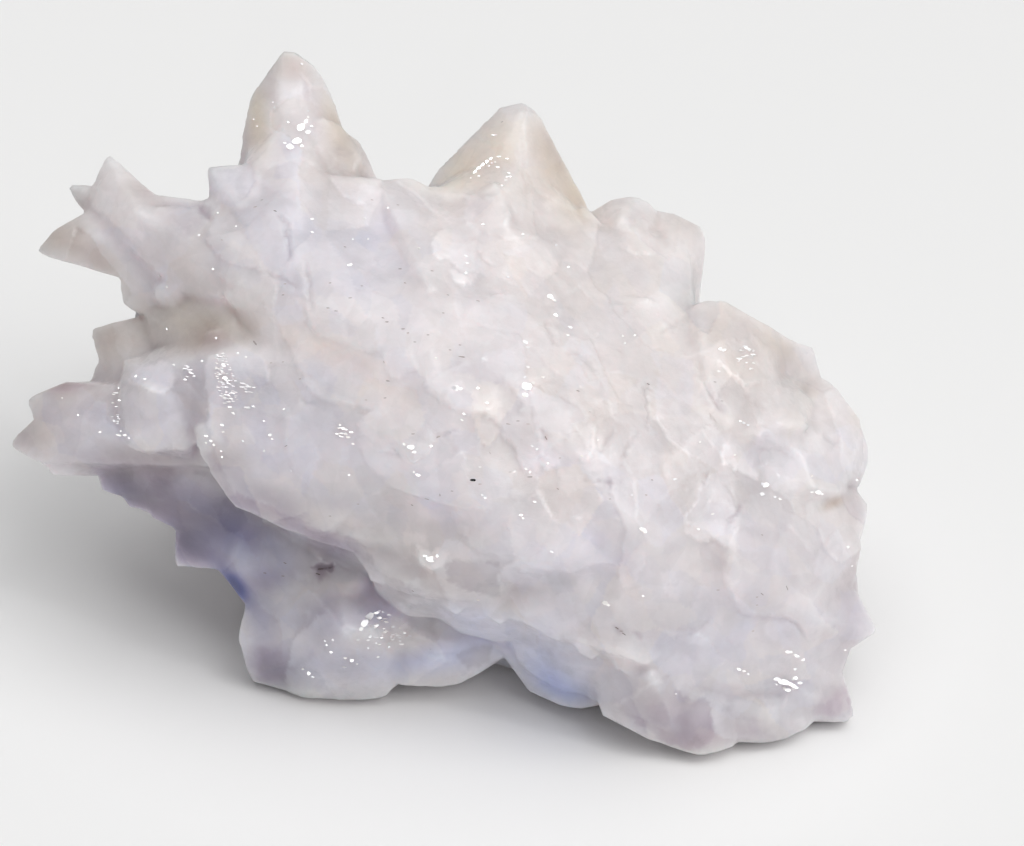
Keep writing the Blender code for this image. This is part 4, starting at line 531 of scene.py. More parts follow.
def shards(a, b, size, seed, long=1.4, turn=50.0):
    """The jittered cell each sheet place falls in: three values in -1..1, and how far from its middle it lies."""
    c, s = math.cos(math.radians(turn)), math.sin(math.radians(turn))
    p, q = (a * c + b * s) / (size * long), (-a * s + b * c) / size
    ip, iq = np.floor(p).astype(np.int64), np.floor(q).astype(np.int64)
    near = np.full(len(a), 1e9)
    own_p, own_q, away_p, away_q = ip.copy(), iq.copy(), 0 * p, 0 * q
    for dp in (-1, 0, 1):
        for dq in (-1, 0, 1):
            jp, jq = ip + dp, iq + dq
            x = p - (jp + 0.5 + 0.42 * lattice(jp, jq, 0 * jp, seed))
            y = q - (jq + 0.5 + 0.42 * lattice(jp, jq, 0 * jp, seed + 1))
            take = x * x + y * y < near
            near = np.where(take, x * x + y * y, near)
            own_p, own_q = np.where(take, jp, own_p), np.where(take, jq, own_q)
            away_p, away_q = np.where(take, x, away_p), np.where(take, y, away_q)
    values = [lattice(own_p, own_q, 0 * own_p, seed + k) for k in (2, 3, 4)]
    return values[0], values[1], values[2], away_p, away_q


def shard_fields(u, v):
    """Height in mm and lightness of the small flat faces that the front is broken into."""
    flat = np.stack([u, v, 0 * u], 1)
    a, b = u + 5 * noise(flat, 22.0, 81), v + 5 * noise(flat, 22.0, 82)
    z, tone, warm = np.zeros(len(u)), np.zeros(len(u)), np.zeros(len(u))
    for size, rise, slope, light, seed in ((46.0, 0.05, 0.17, 0.38, 101), (20.0, 0.02, 0.06, 0.26, 111)):
        r, tilt_p, tilt_q, away_p, away_q = shards(a, b, size, seed)
        z += rise * r + slope * (tilt_p * away_p + tilt_q * away_q)
        tone += light * r
        warm += 0.5 * light * tilt_p
    return z, tone, warm


def jagged(u, v):
    """Small offsets that are the same all over each little cell, so that a lip breaks into straight bits."""
    r1, r2, _, _, _ = shards(u, v, 9.0, 131, 1.2, 20.0)
    r3, r4, _, _, _ = shards(u, v, 4.5, 141, 1.2, 70.0)
    return 1.7 * r1 + 0.9 * r3, 1.7 * r2 + 0.9 * r4


def smoothstep(a, b, x):
    t = np.clip((x - a) / (b - a), 0.0, 1.0)
    return t * t * (3 - 2 * t)


def beside(u, v, points):
    """Distance to a broken line, left hand side positive, and the share of the line walked at the nearest place."""
    pts = np.array(points, float)
    seg = pts[1:] - pts[:-1]
    length = np.hypot(seg[:, 0], seg[:, 1])
    walked = np.concatenate([[0.0], np.cumsum(length)])
    best = np.full(len(u), 1e9)
    perp = np.zeros(len(u))
    share = np.zeros(len(u))
    for i in range(len(seg)):
        d = seg[i] / length[i]
        x, y = u - pts[i, 0], v - pts[i, 1]
        t = np.clip(x * d[0] + y * d[1], 0, length[i])
        off = -(-d[1] * x + d[0] * y)
        dist = np.hypot(x - t * d[0], y - t * d[1])
        take = (dist < best - 1e-6) | ((np.abs(dist - best) <= 1e-6) & (np.abs(off) > np.abs(perp)))
        best = np.where(take, dist, best)
        perp = np.where(take, off, perp)
        share = np.where(take, (walked[i] + t) / walked[-1], share)
    return best * np.sign(perp), share


def inside(u, v, points):
    """Distance into a polygon: positive inside, negative outside."""
    pts = np.array(points, float)
    nxt = np.roll(pts, -1, axis=0)
    best = np.full(len(u), 1e9)
    odd = np.zeros(len(u), bool)
    for a, b in zip(pts, nxt):
        d = b - a
        t = np.clip(((u - a[0]) * d[0] + (v - a[1]) * d[1]) / (d @ d), 0, 1)
        best = np.minimum(best, np.hypot(u - a[0] - t * d[0], v - a[1] - t * d[1]))
        cross = (a[1] > v) != (b[1] > v)
        slope = a[0] + (v - a[1]) * d[0] / (d[1] if d[1] else 1e-9)
        odd ^= cross & (u < slope)
    return np.where(odd, best, -best)


# ---------------------------------------------------------------- the solid as a surface to lay things on
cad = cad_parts["calcite_cluster"]
base = bmesh.new()
base.from_mesh(cad.data)
base.transform(cad.matrix_world)
bmesh.ops.remove_doubles(base, verts=base.verts, dist=1e-7)
bmesh.ops.triangulate(base, faces=base.faces)
solid = BVHTree.FromBMesh(base)


def seen_from_eye(tree, p, slack=0.35):
    """True where nothing lies between the viewing point and a point in mm."""
    d = p - EYE
    far = d.length
    spot, _, _, dist = tree.ray_cast(EYE * MM, d / far)
    return spot is None or dist / MM > far - slack


def add_hull(bm, points):
    made = [bm.verts.new(p * MM) for p in points]
    done = bmesh.ops.convex_hull(bm, input=made, use_existing_faces=False)
    loose = [g for g in done["geom_interior"] + done["geom_unused"] if isinstance(g, bmesh.types.BMVert)]
    bmesh.ops.delete(bm, geom=list(set(loose)), context="VERTS")


rng = random.Random(7)


def scattered_plates(bm, count, small, large, thickness):
    """Little growth plates over the sides away from the front, each tilted so that one edge stands proud."""
    faces = [f for f in base.faces if f.normal.z > -0.9 and f.calc_center_median().z > 0.003
             and not seen_from_eye(solid, f.calc_center_median() / MM, 1.0)]
    areas = np.cumsum([f.calc_area() for f in faces])
    for _ in range(count):
        f = faces[int(np.searchsorted(areas, rng.random() * areas[-1]))]
        a, b, c = [v.co for v in f.verts]
        u, v = rng.random(), rng.random()
        if u + v > 1:
            u, v = 1 - u, 1 - v
        spot = (a + (b - a) * u + (c - a) * v) / MM
        n = f.normal
        lead = (-0.8 * RIGHT - 0.5 * UP + Vector((rng.uniform(-0.5, 0.5), rng.uniform(-0.5, 0.5), rng.uniform(-0.5, 0.5))))
        lead = lead - n * lead.dot(n)
        if lead.length < 0.15:
            lead = n.orthogonal()
        lead.normalize()
        side = n.cross(lead)
        size = small + (large - small) * rng.random() ** 2
        tilt = rng.uniform(0.05, 0.16)
        points = []
        k = rng.choice((5, 6, 7))
        for i in range(k):
            t = (i + rng.uniform(-0.25, 0.25)) * 2 * math.pi / k
            r = size * rng.uniform(0.75, 1.0)
            x, y = math.cos(t) * r, math.sin(t) * r * rng.uniform(0.75, 1.0)
            h = tilt * (x + size * 0.35)
            points.append(spot + lead * x + side * y + n * h)
            points.append(spot + lead * x * 0.85 + side * y * 0.85 + n * (h - thickness))
        if all(solid.ray_cast(EYE * MM, (q - EYE).normalized())[0] is not None for q in points):
            add_hull(bm, points)


grown = base.copy()
for depth, corners in BRIDGES:
    top = [at(*c) for c in corners]
    add_hull(grown, top + [q - (EYE - q).normalized() * depth for q in top])
scattered_plates(grown, 520, 1.8, 5.0, 2.6)

me = bpy.data.meshes.new("calcite_surface")
grown.to_mesh(me)
grown.free()
ob = bpy.data.objects.new("calcite_surface", me)
bpy.context.scene.collection.objects.link(ob)

# ---------------------------------------------------------------- one skin
VOXEL = 0.00042
remesh = ob.modifiers.new("one_skin", "REMESH")
remesh.mode = "VOXEL"
remesh.voxel_size = VOXEL
remesh.adaptivity = 0.0


def settle(ob):
    """Applies the object's modifiers."""
    bpy.context.view_layer.update()
    done = bpy.data.meshes.new_from_object(ob.evaluated_get(bpy.context.evaluated_depsgraph_get()))
    old = ob.data
    ob.modifiers.clear()
    ob.data = done
    bpy.data.meshes.remove(old)
    return done


def arrays(me):
    n = len(me.vertices)
    co = np.empty(n * 3)
    me.vertices.foreach_get("co", co)
    no = np.empty(n * 3)
    me.vertex_normals.foreach_get("vector", no)
    ed = np.empty(len(me.edges) * 2, dtype=np.int64)
    me.edges.foreach_get("vertices", ed)
    return co.reshape(-1, 3) / MM, no.reshape(-1, 3), ed.reshape(-1, 2)


def put(me, co):
    me.vertices.foreach_set("co", (co * MM).ravel())
    me.update()


def mean_of_neighbours(v, ed, degree):
    s = np.empty_like(v)
    for c in range(v.shape[1]):
        s[:, c] = np.bincount(ed[:, 0], weights=v[ed[:, 1], c], minlength=len(v)) + \
            np.bincount(ed[:, 1], weights=v[ed[:, 0], c], minlength=len(v))
    return s / degree[:, None]


def spread(values, ed, times):
    """Averages a value over neighbours, so many times."""
    v = values[:, None] if values.ndim == 1 else values
    degree = np.maximum(np.bincount(ed.ravel(), minlength=len(v)).astype(float), 1)
    for _ in range(times):
        v = 0.5 * v + 0.5 * mean_of_neighbours(v, ed, degree)
    return v[:, 0] if values.ndim == 1 else v


me = settle(ob)
co, no, ed = arrays(me)
print("remeshed", len(me.vertices), len(me.polygons))
foot = (co[:, 2] < 0.35) & (no[:, 2] < -0.6)

# soften the voxels' stairs and keep the tips
degree = np.maximum(np.bincount(ed.ravel(), minlength=len(co)).astype(float), 1)
soft = co
for _ in range(14):
    soft = soft + 0.60 * (mean_of_neighbours(soft, ed, degree) - soft)
    soft = soft - 0.62 * (mean_of_neighbours(soft, ed, degree) - soft)
soft = 0.5 * soft + 0.5 * mean_of_neighbours(soft, ed, degree)
soft[foot] = co[foot]
put(me, soft)
co, no, ed = arrays(me)

# ---------------------------------------------------------------- where the front is, and where the middle mass is
MASS = ((228, 222), (258, 200), (330, 192), (420, 204), (480, 214), (540, 236), (590, 226), (640, 232), (686, 244),
        (672, 290), (688, 334), (752, 354), (786, 396), (812, 436), (812, 520), (822, 600), (806, 668), (700, 704), (608, 640),
        (530, 582), (438, 572), (380, 540), (336, 512), (268, 482), (230, 455), (216, 362), (250, 342), (240, 300),
        (220, 252))
u, v, _ = sheet_of(co)
in_mass = smoothstep(-6, 8, inside(u, v, MASS))
well_in = smoothstep(-8, 26, inside(u, v, MASS))
toward_eye = np.array(EYE) - co
toward_eye /= np.linalg.norm(toward_eye, axis=1)[:, None]
facing = (no * toward_eye).sum(1)
front = np.zeros(len(co))
for i in np.nonzero(facing > 0.05)[0]:
    front[i] = seen_from_eye(solid, Vector(co[i] + no[i] * 0.3), 0.6)
front = spread(front, ed, 4)

# ridges that face the eye soften along the line of sight, so that the outline stays as it is
MELT = (
    (1.0, 292, 105, 46, 60, 0), (1.0, 512, 155, 90, 56, 0), (1.0, 160, 405, 44, 50, 0), (0.8, 290, 200, 60, 40, 0),
    (0.6, 105, 225, 60, 50, 0), (0.8, 175, 290, 30, 24, 0), (0.7, 60, 425, 50, 40, 0), (0.7, 340, 640, 90, 50, 0),
    (0.8, 200, 530, 110, 40, 25), (0.6, 110, 340, 40, 30, 0), (0.8, 500, 630, 110, 40, 20), (0.8, 650, 270, 60, 50, 0),
    (0.6, 780, 380, 70, 50, 30), (1.0, 505, 205, 90, 36, 0), (1.0, 345, 150, 34, 34, 0), (0.9, 140, 240, 70, 50, 0),
    (0.9, 185, 385, 40, 56, 0), (0.9, 555, 670, 70, 34, 20),
)
melt = np.zeros(len(co))
for amount, cx, cy, along, over, turn in MELT:
    c, s = math.cos(math.radians(turn)), math.sin(math.radians(turn))
    a = ((u - cx) * c + (v - cy) * s) / along
    b = (-(u - cx) * s + (v - cy) * c) / over
    melt = np.maximum(melt, amount * np.exp(-(a * a + b * b) ** 2))
melt = (melt * front * np.where(foot, 0.0, 1.0))[:, None]
for _ in range(80):
    pull = ((mean_of_neighbours(co, ed, degree) - co) * toward_eye).sum(1)
    co = co + toward_eye * (0.6 * pull)[:, None] * melt
put(me, co)
co, no, ed = arrays(me)

# the grooves between plates, grown over: only hollow places move, and only outward
amount = np.where(foot, 0.0, 0.12 + 0.88 * in_mass * front)[:, None]
for turn in range(4):
    n_soft = spread(no, ed, 2)
    n_soft /= np.maximum(np.linalg.norm(n_soft, axis=1), 1e-6)[:, None]
    for _ in range(16):
        lift = ((mean_of_neighbours(co, ed, degree) - co) * n_soft).sum(1)
        co = co + n_soft * (np.maximum(lift, 0) * 0.8)[:, None] * amount
    put(me, co)
    co, no, ed = arrays(me)
soft = spread(co, ed, 2)
co = np.where((foot | (in_mass * front < 0.3))[:, None], co, soft)

# the middle mass has an even front: its deep steps are drawn in along the line of sight
CELL, WIDE = 3.0, 6
KEPT = 0.2
u, v, out = sheet_of(co)
share = in_mass * front
gu, gv = np.clip(u / CELL, 1, 338), np.clip(v / CELL, 1, 278)
iu, iv = np.floor(gu).astype(int), np.floor(gv).astype(int)
place = iv * 342 + iu
total = np.bincount(place, weights=out * share, minlength=342 * 282).reshape(282, 342)
count = np.bincount(place, weights=share, minlength=342 * 282).reshape(282, 342)
bell = np.exp(-0.5 * (np.arange(-3 * WIDE, 3 * WIDE + 1) / WIDE) ** 2)
for axis in (0, 1):
    total = np.apply_along_axis(np.convolve, axis, total, bell, "same")
    count = np.apply_along_axis(np.convolve, axis, count, bell, "same")
even = total / np.maximum(count, 1e-9)
fu, fv = gu - iu, gv - iv
level = (even[iv, iu] * (1 - fu) + even[iv, iu + 1] * fu) * (1 - fv) + \
    (even[iv + 1, iu] * (1 - fu) + even[iv + 1, iu + 1] * fu) * fv
near = 1 - smoothstep(8.0, 15.0, np.abs(level - out))
draw = 5.0 * np.tanh((level - out) / 5.0)
co = co + toward_eye * (draw * (1 - KEPT) * well_in * near * np.where(foot, 0.0, 1.0))[:, None]
put(me, co)
calm = (well_in * front * np.where(foot, 0.0, 1.0))[:, None]
for _ in range(22):
    pull = ((mean_of_neighbours(co, ed, degree) - co) * toward_eye).sum(1)
    co = co + toward_eye * (0.6 * pull)[:, None] * calm
put(me, co)
co, no, ed = arrays(me)

# ---------------------------------------------------------------- ledges, cracks, steps and lumps
n_soft = spread(no, ed, 6)
n_soft /= np.maximum(np.linalg.norm(n_soft, axis=1), 1e-6)[:, None]
u, v, _ = sheet_of(co)
facing = (n_soft * toward_eye).sum(1)
fronted = front * smoothstep(0.05, 0.3, facing)
ragged_u, ragged_v = jagged(u, v)


LEDGE = 0.28


def ledge_fields(u, v, ru, rv):
    """Height in mm and lightness of the ledges, cracks, pits and faces at sheet places. The lightness holds a painted
    highlight above each lip, painted shade below it and in the pits, and faces that are partly painted light and shade.
    """
    z = np.zeros(len(u))
    tone = np.zeros(len(u))
    warm = np.zeros(len(u))
    x, y = u + ru, v + rv
    for height, reach, light, points in LEDGES:
        pts = np.array(points, float)
        low, high = pts.min(0) - reach * 7, pts.max(0) + reach * 7
        k = np.nonzero((u > low[0]) & (u < high[0]) & (v > low[1]) & (v < high[1]))[0]
        if not len(k):
            continue
        s, _ = beside(x[k], y[k], points)
        up = smoothstep(-1.1, 1.1, s)
        s, share = beside(u[k], v[k], points)
        ends = smoothstep(0.0, 0.10, share) * (1 - smoothstep(0.90, 1.0, share))
        z[k] += LEDGE * ends * height * (up * np.exp(-np.abs(s) / (3.0 * reach)) - (1 - up) * 0.25 * np.exp(-np.abs(s) / 12.0))
        # painted highlight on the high side of the lip, painted shade on the low side
        lit = up * 0.34 * np.exp(-np.abs(s) / (1.4 * reach))
        shade = (1 - up) * (0.12 * np.exp(-((s + 1.6) / 2.0) ** 2) + 0.32 * np.exp(-np.abs(s) / (1.0 * reach)))
        tone[k] += ends * light * (lit - shade)
    for depth, half, dark, points in CRACKS:
        pts = np.array(points, float)
        low, high = pts.min(0) - half * 4, pts.max(0) + half * 4
        k = np.nonzero((u > low[0]) & (u < high[0]) & (v > low[1]) & (v < high[1]))[0]
        if not len(k):
            continue
        s, share = beside(x[k], y[k], points)
        ends = smoothstep(0.0, 0.2, share) * (1 - smoothstep(0.8, 1.0, share))
        g = ends * np.exp(-(s / half) ** 2)
        z[k] -= depth * g
        tone[k] -= 0.5 * dark * g
    for depth, softness, dark, points in PITS:
        pts = np.array(points, float)
        low, high = pts.min(0) - softness * 3, pts.max(0) + softness * 3
        k = np.nonzero((u > low[0]) & (u < high[0]) & (v > low[1]) & (v < high[1]))[0]
        if not len(k):
            continue
        g = smoothstep(-softness, softness, inside(x[k], y[k], points))
        z[k] -= depth * g
        # painted shade in the hollow
        tone[k] -= dark * g
    x, y = u + 1.2 * ru, v + 1.2 * rv
    for light, softness, points in FACES:
        pts = np.array(points, float)
        low, high = pts.min(0) - softness * 2, pts.max(0) + softness * 2
        k = np.nonzero((u > low[0]) & (u < high[0]) & (v > low[1]) & (v < high[1]))[0]
        if not len(k):
            continue
        # painted light and shade of the single faces, with the plates' own tone
        tone[k] += 0.70 * light * smoothstep(-softness, softness, inside(x[k], y[k], points))
    return z, tone, warm


height, _, _ = ledge_fields(u, v, ragged_u, ragged_v)
broken, _, _ = shard_fields(u, v)

lead = -0.82 * np.array(RIGHT) - 0.45 * np.array(UP) + 0.1 * np.array(TOWARD)


def steps(p, period, warp, seed):
    q = (p @ lead) / period + warp * noise(p, period * 2.2, seed) + 0.35 * noise(p, period * 0.8, seed + 5)
    s = q - np.floor(q)
    return np.where(s < 0.86, s / 0.86, 1 - (s - 0.86) / 0.14)


rough = 0.5 + 0.5 * smoothstep(-0.3, 0.4, noise(co, 14.0, 3))
lump = 0.10 + noise(co, 7.0, 11) * 0.11 + noise(co, 2.6, 12) * 0.035
rise = 0.30 * (steps(co, 5.2, 1.2, 21) - 0.5) + 0.12 * (steps(co, 1.7, 1.0, 31) - 0.5)
small = 0.02 * (steps(co, 2.1, 1.0, 41) - 0.5)
move = lump + fronted * (height + broken + small) + (1 - front) * rough * rise
moved = co + n_soft * move[:, None]
low = 1 - smoothstep(0.3, 1.6, co[:, 2])
moved = moved * (1 - low[:, None]) + co * low[:, None]
moved[:, 2] = np.maximum(moved[:, 2], 0.0)
moved[foot, 2] = 0.0
put(me, moved)

# thin the mesh out, more on the sides away from the front
group = ob.vertex_groups.new(name="thin")
away = np.clip(1.1 - fronted, 0.1, 1.0)
for level in range(1, 11):
    members = np.nonzero(np.round(away * 10).astype(int) == level)[0]
    if len(members):
        group.add(members.tolist(), level / 10.0, "REPLACE")
for pass_ in (1, 2):
    faces = sum(len(p.vertices) - 2 for p in me.polygons)
    if faces <= 196000:
        break
    thin = ob.modifiers.new("thin", "DECIMATE")
    thin.decimate_type = "COLLAPSE"
    thin.ratio = 194000 / faces
    thin.use_collapse_triangulate = True
    if pass_ == 1:
        thin.vertex_group = "thin"
        thin.vertex_group_factor = 1.0
    me = settle(ob)
    print("pass", pass_, len(me.polygons))
ob.vertex_groups.clear()

# the thinning can leave single faces that nothing joins
whole = bmesh.new()
whole.from_mesh(me)
loose = [f for f in whole.faces if all(len(e.link_faces) == 1 for e in f.edges)]
bmesh.ops.delete(whole, geom=loose, context="FACES")
bare = [v for v in whole.verts if not v.link_faces]
bmesh.ops.delete(whole, geom=bare, context="VERTS")
print("loose", len(loose), "open", sum(1 for e in whole.edges if len(e.link_faces) != 2))
whole.to_mesh(me)
whole.free()
co, no, ed = arrays(me)
print("thinned", len(me.vertices), len(me.polygons))
co[:, 2] = np.maximum(co[:, 2], 0.0)
put(me, co)

# ---------------------------------------------------------------- what the material reads from the shape
skin = bmesh.new()
skin.from_mesh(me)
skin_tree = BVHTree.FromBMesh(skin)
skin.free()
n = len(co)
fine = spread(co, ed, 4)
wide = spread(co, ed, 40)
edge = ((co - fine) * no).sum(1)         # mm proud of the near neighbourhood
hollow = ((co - wide) * no).sum(1)       # mm proud of the wider one


def keep(name, values):
    a = me.attributes.new(name, "FLOAT", "POINT")
    a.data.foreach_set("value", values.astype(np.float32))


u, v, out = sheet_of(co)
toward_eye = np.array(EYE) - co
toward_eye /= np.linalg.norm(toward_eye, axis=1)[:, None]
facing = (no * toward_eye).sum(1)
front = np.zeros(n)
thick = np.zeros(n)
for i in range(n):
    p, d = Vector(co[i]), Vector(no[i])
    if facing[i] > 0.0:
        front[i] = seen_from_eye(skin_tree, p + d * 0.08, 0.3)
    hit = skin_tree.ray_cast((p - d * 0.1) * MM, -d)
    thick[i] = 99.0 if hit[0] is None else hit[3] / MM
front = spread(front, ed, 2)
thick = spread(np.minimum(thick, 40.0), ed, 6)

ragged_u, ragged_v = jagged(u, v)
_, tone, warm = ledge_fields(u, v, ragged_u, ragged_v)
_, more, tint = shard_fields(u, v)
tone, warm = (tone + more) * front, (warm + 0.6 * tint) * front

# painted light on the hidden sides: the proud edges of their own steps are painted lighter and their creases darker
tone += (1 - front) * 1.1 * np.clip(edge / 0.1, -1, 1)
# painted light from the shape all over: proud edges and bulges lighter, creases darker, and painted shade in the
# hollows
tone += 0.10 * np.clip(edge / 0.06, -1.5, 1.5)
tone += 0.20 * np.clip(hollow / 0.9, -2.0, 1.0)
tone += 0.15 * noise(co, 5.0, 71) + 0.12 * noise(co, 1.6, 72)

warm += 0.05 * noise(co, 16.0, 61) + 0.05 * noise(co, 4.0, 62)
for light, warmth, cx, cy, along, over, turn in TONES:
    c, s = math.cos(math.radians(turn)), math.sin(math.radians(turn))
    a = ((u - cx) * c + (v - cy) * s) / along
    b = (-(u - cx) * s + (v - cy) * c) / over
    w = np.exp(-(a * a + b * b)) * front
    # painted light and shade of the broad tones, and their hues with the painted bluish tint of the shade
    tone += light * w
    warm += warmth * w

# shade holds the painted light and shade with the random tone and the cracks; warm holds the hues with the painted
# bluish tint of the shade
keep("shade", np.clip(1.0 + 0.1 * tone, 0.30, 1.15))
keep("warm", np.clip(0.5 + 0.25 * warm, 0, 1))
clear = 0.5 * (1 - smoothstep(1.5, 7.0, thick))
for amount, cx, cy, along, over, turn in CLEAR:
    c, s = math.cos(math.radians(turn)), math.sin(math.radians(turn))
    a = ((u - cx) * c + (v - cy) * s) / along
    b = (-(u - cx) * s + (v - cy) * c) / over
    clear = np.maximum(clear, amount * np.exp(-(a * a + b * b)) * front)
keep("clear", clear)

me.shade_smooth()

# ---------------------------------------------------------------- calcite
def rgb(hexed):
    c = [int(hexed[i:i + 2], 16) / 255 for i in (0, 2, 4)]
    return tuple(((v + 0.055) / 1.055) ** 2.4 if v > 0.04045 else v / 12.92 for v in c)


class Nodes:
    """Short hands for building a material."""

    def __init__(self, name):
        self.mat = bpy.data.materials.new(name)
        self.mat.use_nodes = True
        self.nodes, self.links = self.mat.node_tree.nodes, self.mat.node_tree.links
        self.bsdf = self.nodes["Principled BSDF"]
        self.coords = self.new("ShaderNodeTexCoord").outputs["Object"]

    def new(self, kind, **values):
        x = self.nodes.new(kind)
        for k, value in values.items():
            setattr(x, k, value)
        return x

    def feed(self, socket, value):
        if isinstance(value, bpy.types.NodeSocket):
            self.links.new(value, socket)
        elif isinstance(value, (int, float)):
            socket.default_value = value
        elif len(value) == 3 and socket.type == "RGBA":
            socket.default_value = (*value, 1.0)
        else:
            socket.default_value = value

    def attr(self, name):
        x = self.new("ShaderNodeAttribute")
        x.attribute_name = name
        return x.outputs["Fac"]

    def ramp(self, src, stops):
        x = self.new("ShaderNodeValToRGB")
        el = x.color_ramp.elements
        while len(el) < len(stops):
            el.new(0.5)
        for e, (pos, col) in zip(el, stops):
            e.position = pos
            e.color = col if len(col) == 4 else (*col, 1.0)
        self.links.new(src, x.inputs["Fac"])
        return x.outputs["Color"]

    def mix(self, kind, fac, a, b):
        x = self.new("ShaderNodeMix", data_type="RGBA", blend_type=kind)
        x.clamp_factor = True
        x.clamp_result = False
        # the colour sockets are the ones after the factor's
        self.feed(x.inputs[0], fac)
        self.feed(x.inputs[6], a)
        self.feed(x.inputs[7], b)
        return x.outputs[2]

    def math(self, op, a, b=0.0, clamp=False):
        x = self.new("ShaderNodeMath", operation=op, use_clamp=clamp)
        self.feed(x.inputs[0], a)
        self.feed(x.inputs[1], b)
        return x.outputs["Value"]

    def vmath(self, op, a, b=None, scale=None):
        x = self.new("ShaderNodeVectorMath", operation=op)
        self.feed(x.inputs[0], a)
        if b is not None:
            self.feed(x.inputs[1], b)
        if scale is not None:
            self.feed(x.inputs["Scale"], scale)
        return x.outputs["Vector"]

    def cloud(self, scale, detail=3.0, seed=0.0, rough=0.5, stretch=(1, 1, 1), turn=(0, 0, 0)):
        m = self.new("ShaderNodeMapping")
        m.inputs["Location"].default_value = (seed, seed * 0.7, -seed)
        m.inputs["Rotation"].default_value = turn
        m.inputs["Scale"].default_value = stretch
        self.links.new(self.coords, m.inputs["Vector"])
        x = self.new("ShaderNodeTexNoise")
        x.inputs["Scale"].default_value = scale
        x.inputs["Detail"].default_value = detail
        x.inputs["Roughness"].default_value = rough
        self.links.new(m.outputs["Vector"], x.inputs["Vector"])
        return x.outputs["Fac"]

    def cells(self, scale, jumble=1.0):
        x = self.new("ShaderNodeTexVoronoi", feature="F1")
        x.inputs["Scale"].default_value = scale
        x.inputs["Randomness"].default_value = jumble
        self.links.new(self.coords, x.inputs["Vector"])
        return x

    def tilted(self, scale, amount):
        """A normal that each small cell of the surface tilts its own way."""
        away = self.vmath("SUBTRACT", self.cells(scale).outputs["Color"], (0.5, 0.5, 0.5))
        away = self.vmath("SCALE", away, scale=amount)
        own = self.new("ShaderNodeNewGeometry").outputs["Normal"]
        return self.vmath("NORMALIZE", self.vmath("ADD", own, away))


look = Nodes("calcite_look")
WHITE = rgb("E3DEE1")
# the blue end of the ramp is the painted bluish tint of the shaded places
colour = look.ramp(look.attr("warm"), [(0.0, rgb("8D9EE4")), (0.25, rgb("C6CBE7")), (0.5, WHITE),
                                              (0.75, rgb("E5D8C9")), (1.0, rgb("E1D0B8"))])
patch = look.ramp(look.cloud(120.0, 3.0, 4.0), [(0.42, (0.97, 0.97, 0.97)), (0.60, (1.02, 1.02, 1.02))])
colour = look.mix("MULTIPLY", 1.0, colour, patch)
milk = look.ramp(look.cloud(420.0, 3.0, 7.0, 0.6), [(0.40, (0.985, 0.985, 0.985)), (0.62, (1.015, 1.015, 1.015))])
colour = look.mix("MULTIPLY", 1.0, colour, milk)
for size, low in ((230.0, 0.976), (520.0, 0.984)):
    own = look.ramp(look.cells(size).outputs["Color"], [(0.15, (low, low, low)), (0.85, (1.012, 1.012, 1.012))])
    colour = look.mix("MULTIPLY", 1.0, colour, own)
# the painted light and shade lighten and darken the colour here, and the deepest painted shade turns purple
colour = look.mix("MULTIPLY", 1.0, colour, look.attr("shade"))
colour = look.mix("MULTIPLY", 1.0, colour, look.ramp(look.attr("shade"), [(0.42, (1.02, 0.91, 1.02)), (0.62, (1.015, 0.93, 1.015)), (0.76, (1.003, 0.98, 1.003)), (0.90, (1.0, 1.0, 1.0))]))
colour = look.mix("MULTIPLY", look.attr("clear"), colour, rgb("F4EEE8"))
b = look.bsdf
look.links.new(colour, b.inputs["Base Color"])
rough = look.ramp(look.cloud(160.0, 3.0, 9.0), [(0.35, (0.30, 0.30, 0.30)), (0.65, (0.44, 0.44, 0.44))])
look.links.new(rough, b.inputs["Roughness"])
b.inputs["IOR"].default_value = 1.56
b.inputs["Subsurface Weight"].default_value = 1.0
b.inputs["Subsurface Radius"].default_value = (1.0, 0.85, 0.85)
b.inputs["Subsurface Scale"].default_value = 0.014
look.links.new(look.math("MULTIPLY", look.attr("clear"), 0.4), b.inputs["Transmission Weight"])
b.inputs["Coat Weight"].default_value = 0.22
b.inputs["Coat Roughness"].default_value = 0.10
look.links.new(look.tilted(900.0, 0.55), b.inputs["Coat Normal"])
bump = look.new("ShaderNodeBump")
bump.inputs["Strength"].default_value = 0.18
bump.inputs["Distance"].default_value = 0.0003
look.links.new(look.cloud(700.0, 4.0, 2.0, 0.6, (1, 1, 2.2)), bump.inputs["Height"])
look.links.new(look.tilted(420.0, 0.05), bump.inputs["Normal"])
look.links.new(bump.outputs["Normal"], b.inputs["Normal"])
me.materials.clear()
me.materials.append(look.mat)

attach(ob, "root")
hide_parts("calcite_cluster")

# ---------------------------------------------------------------- small bright faces and dark grains
GLINT_AT = Vector((330.0, -260.0, 760.0))      # mm, the small bright light that they catch
GLINT_LOW = Vector((60.0, -700.0, 400.0))      # mm, the one for the faces under the middle mass


def on(across, down):
    """The place on the skin under a sheet place, in mm, and the skin's normal there."""
    d = (at(across, down) - EYE).normalized()
    spot, normal, _, _ = skin_tree.ray_cast(EYE * MM, d)
    return (None, None) if spot is None else (spot / MM, normal)


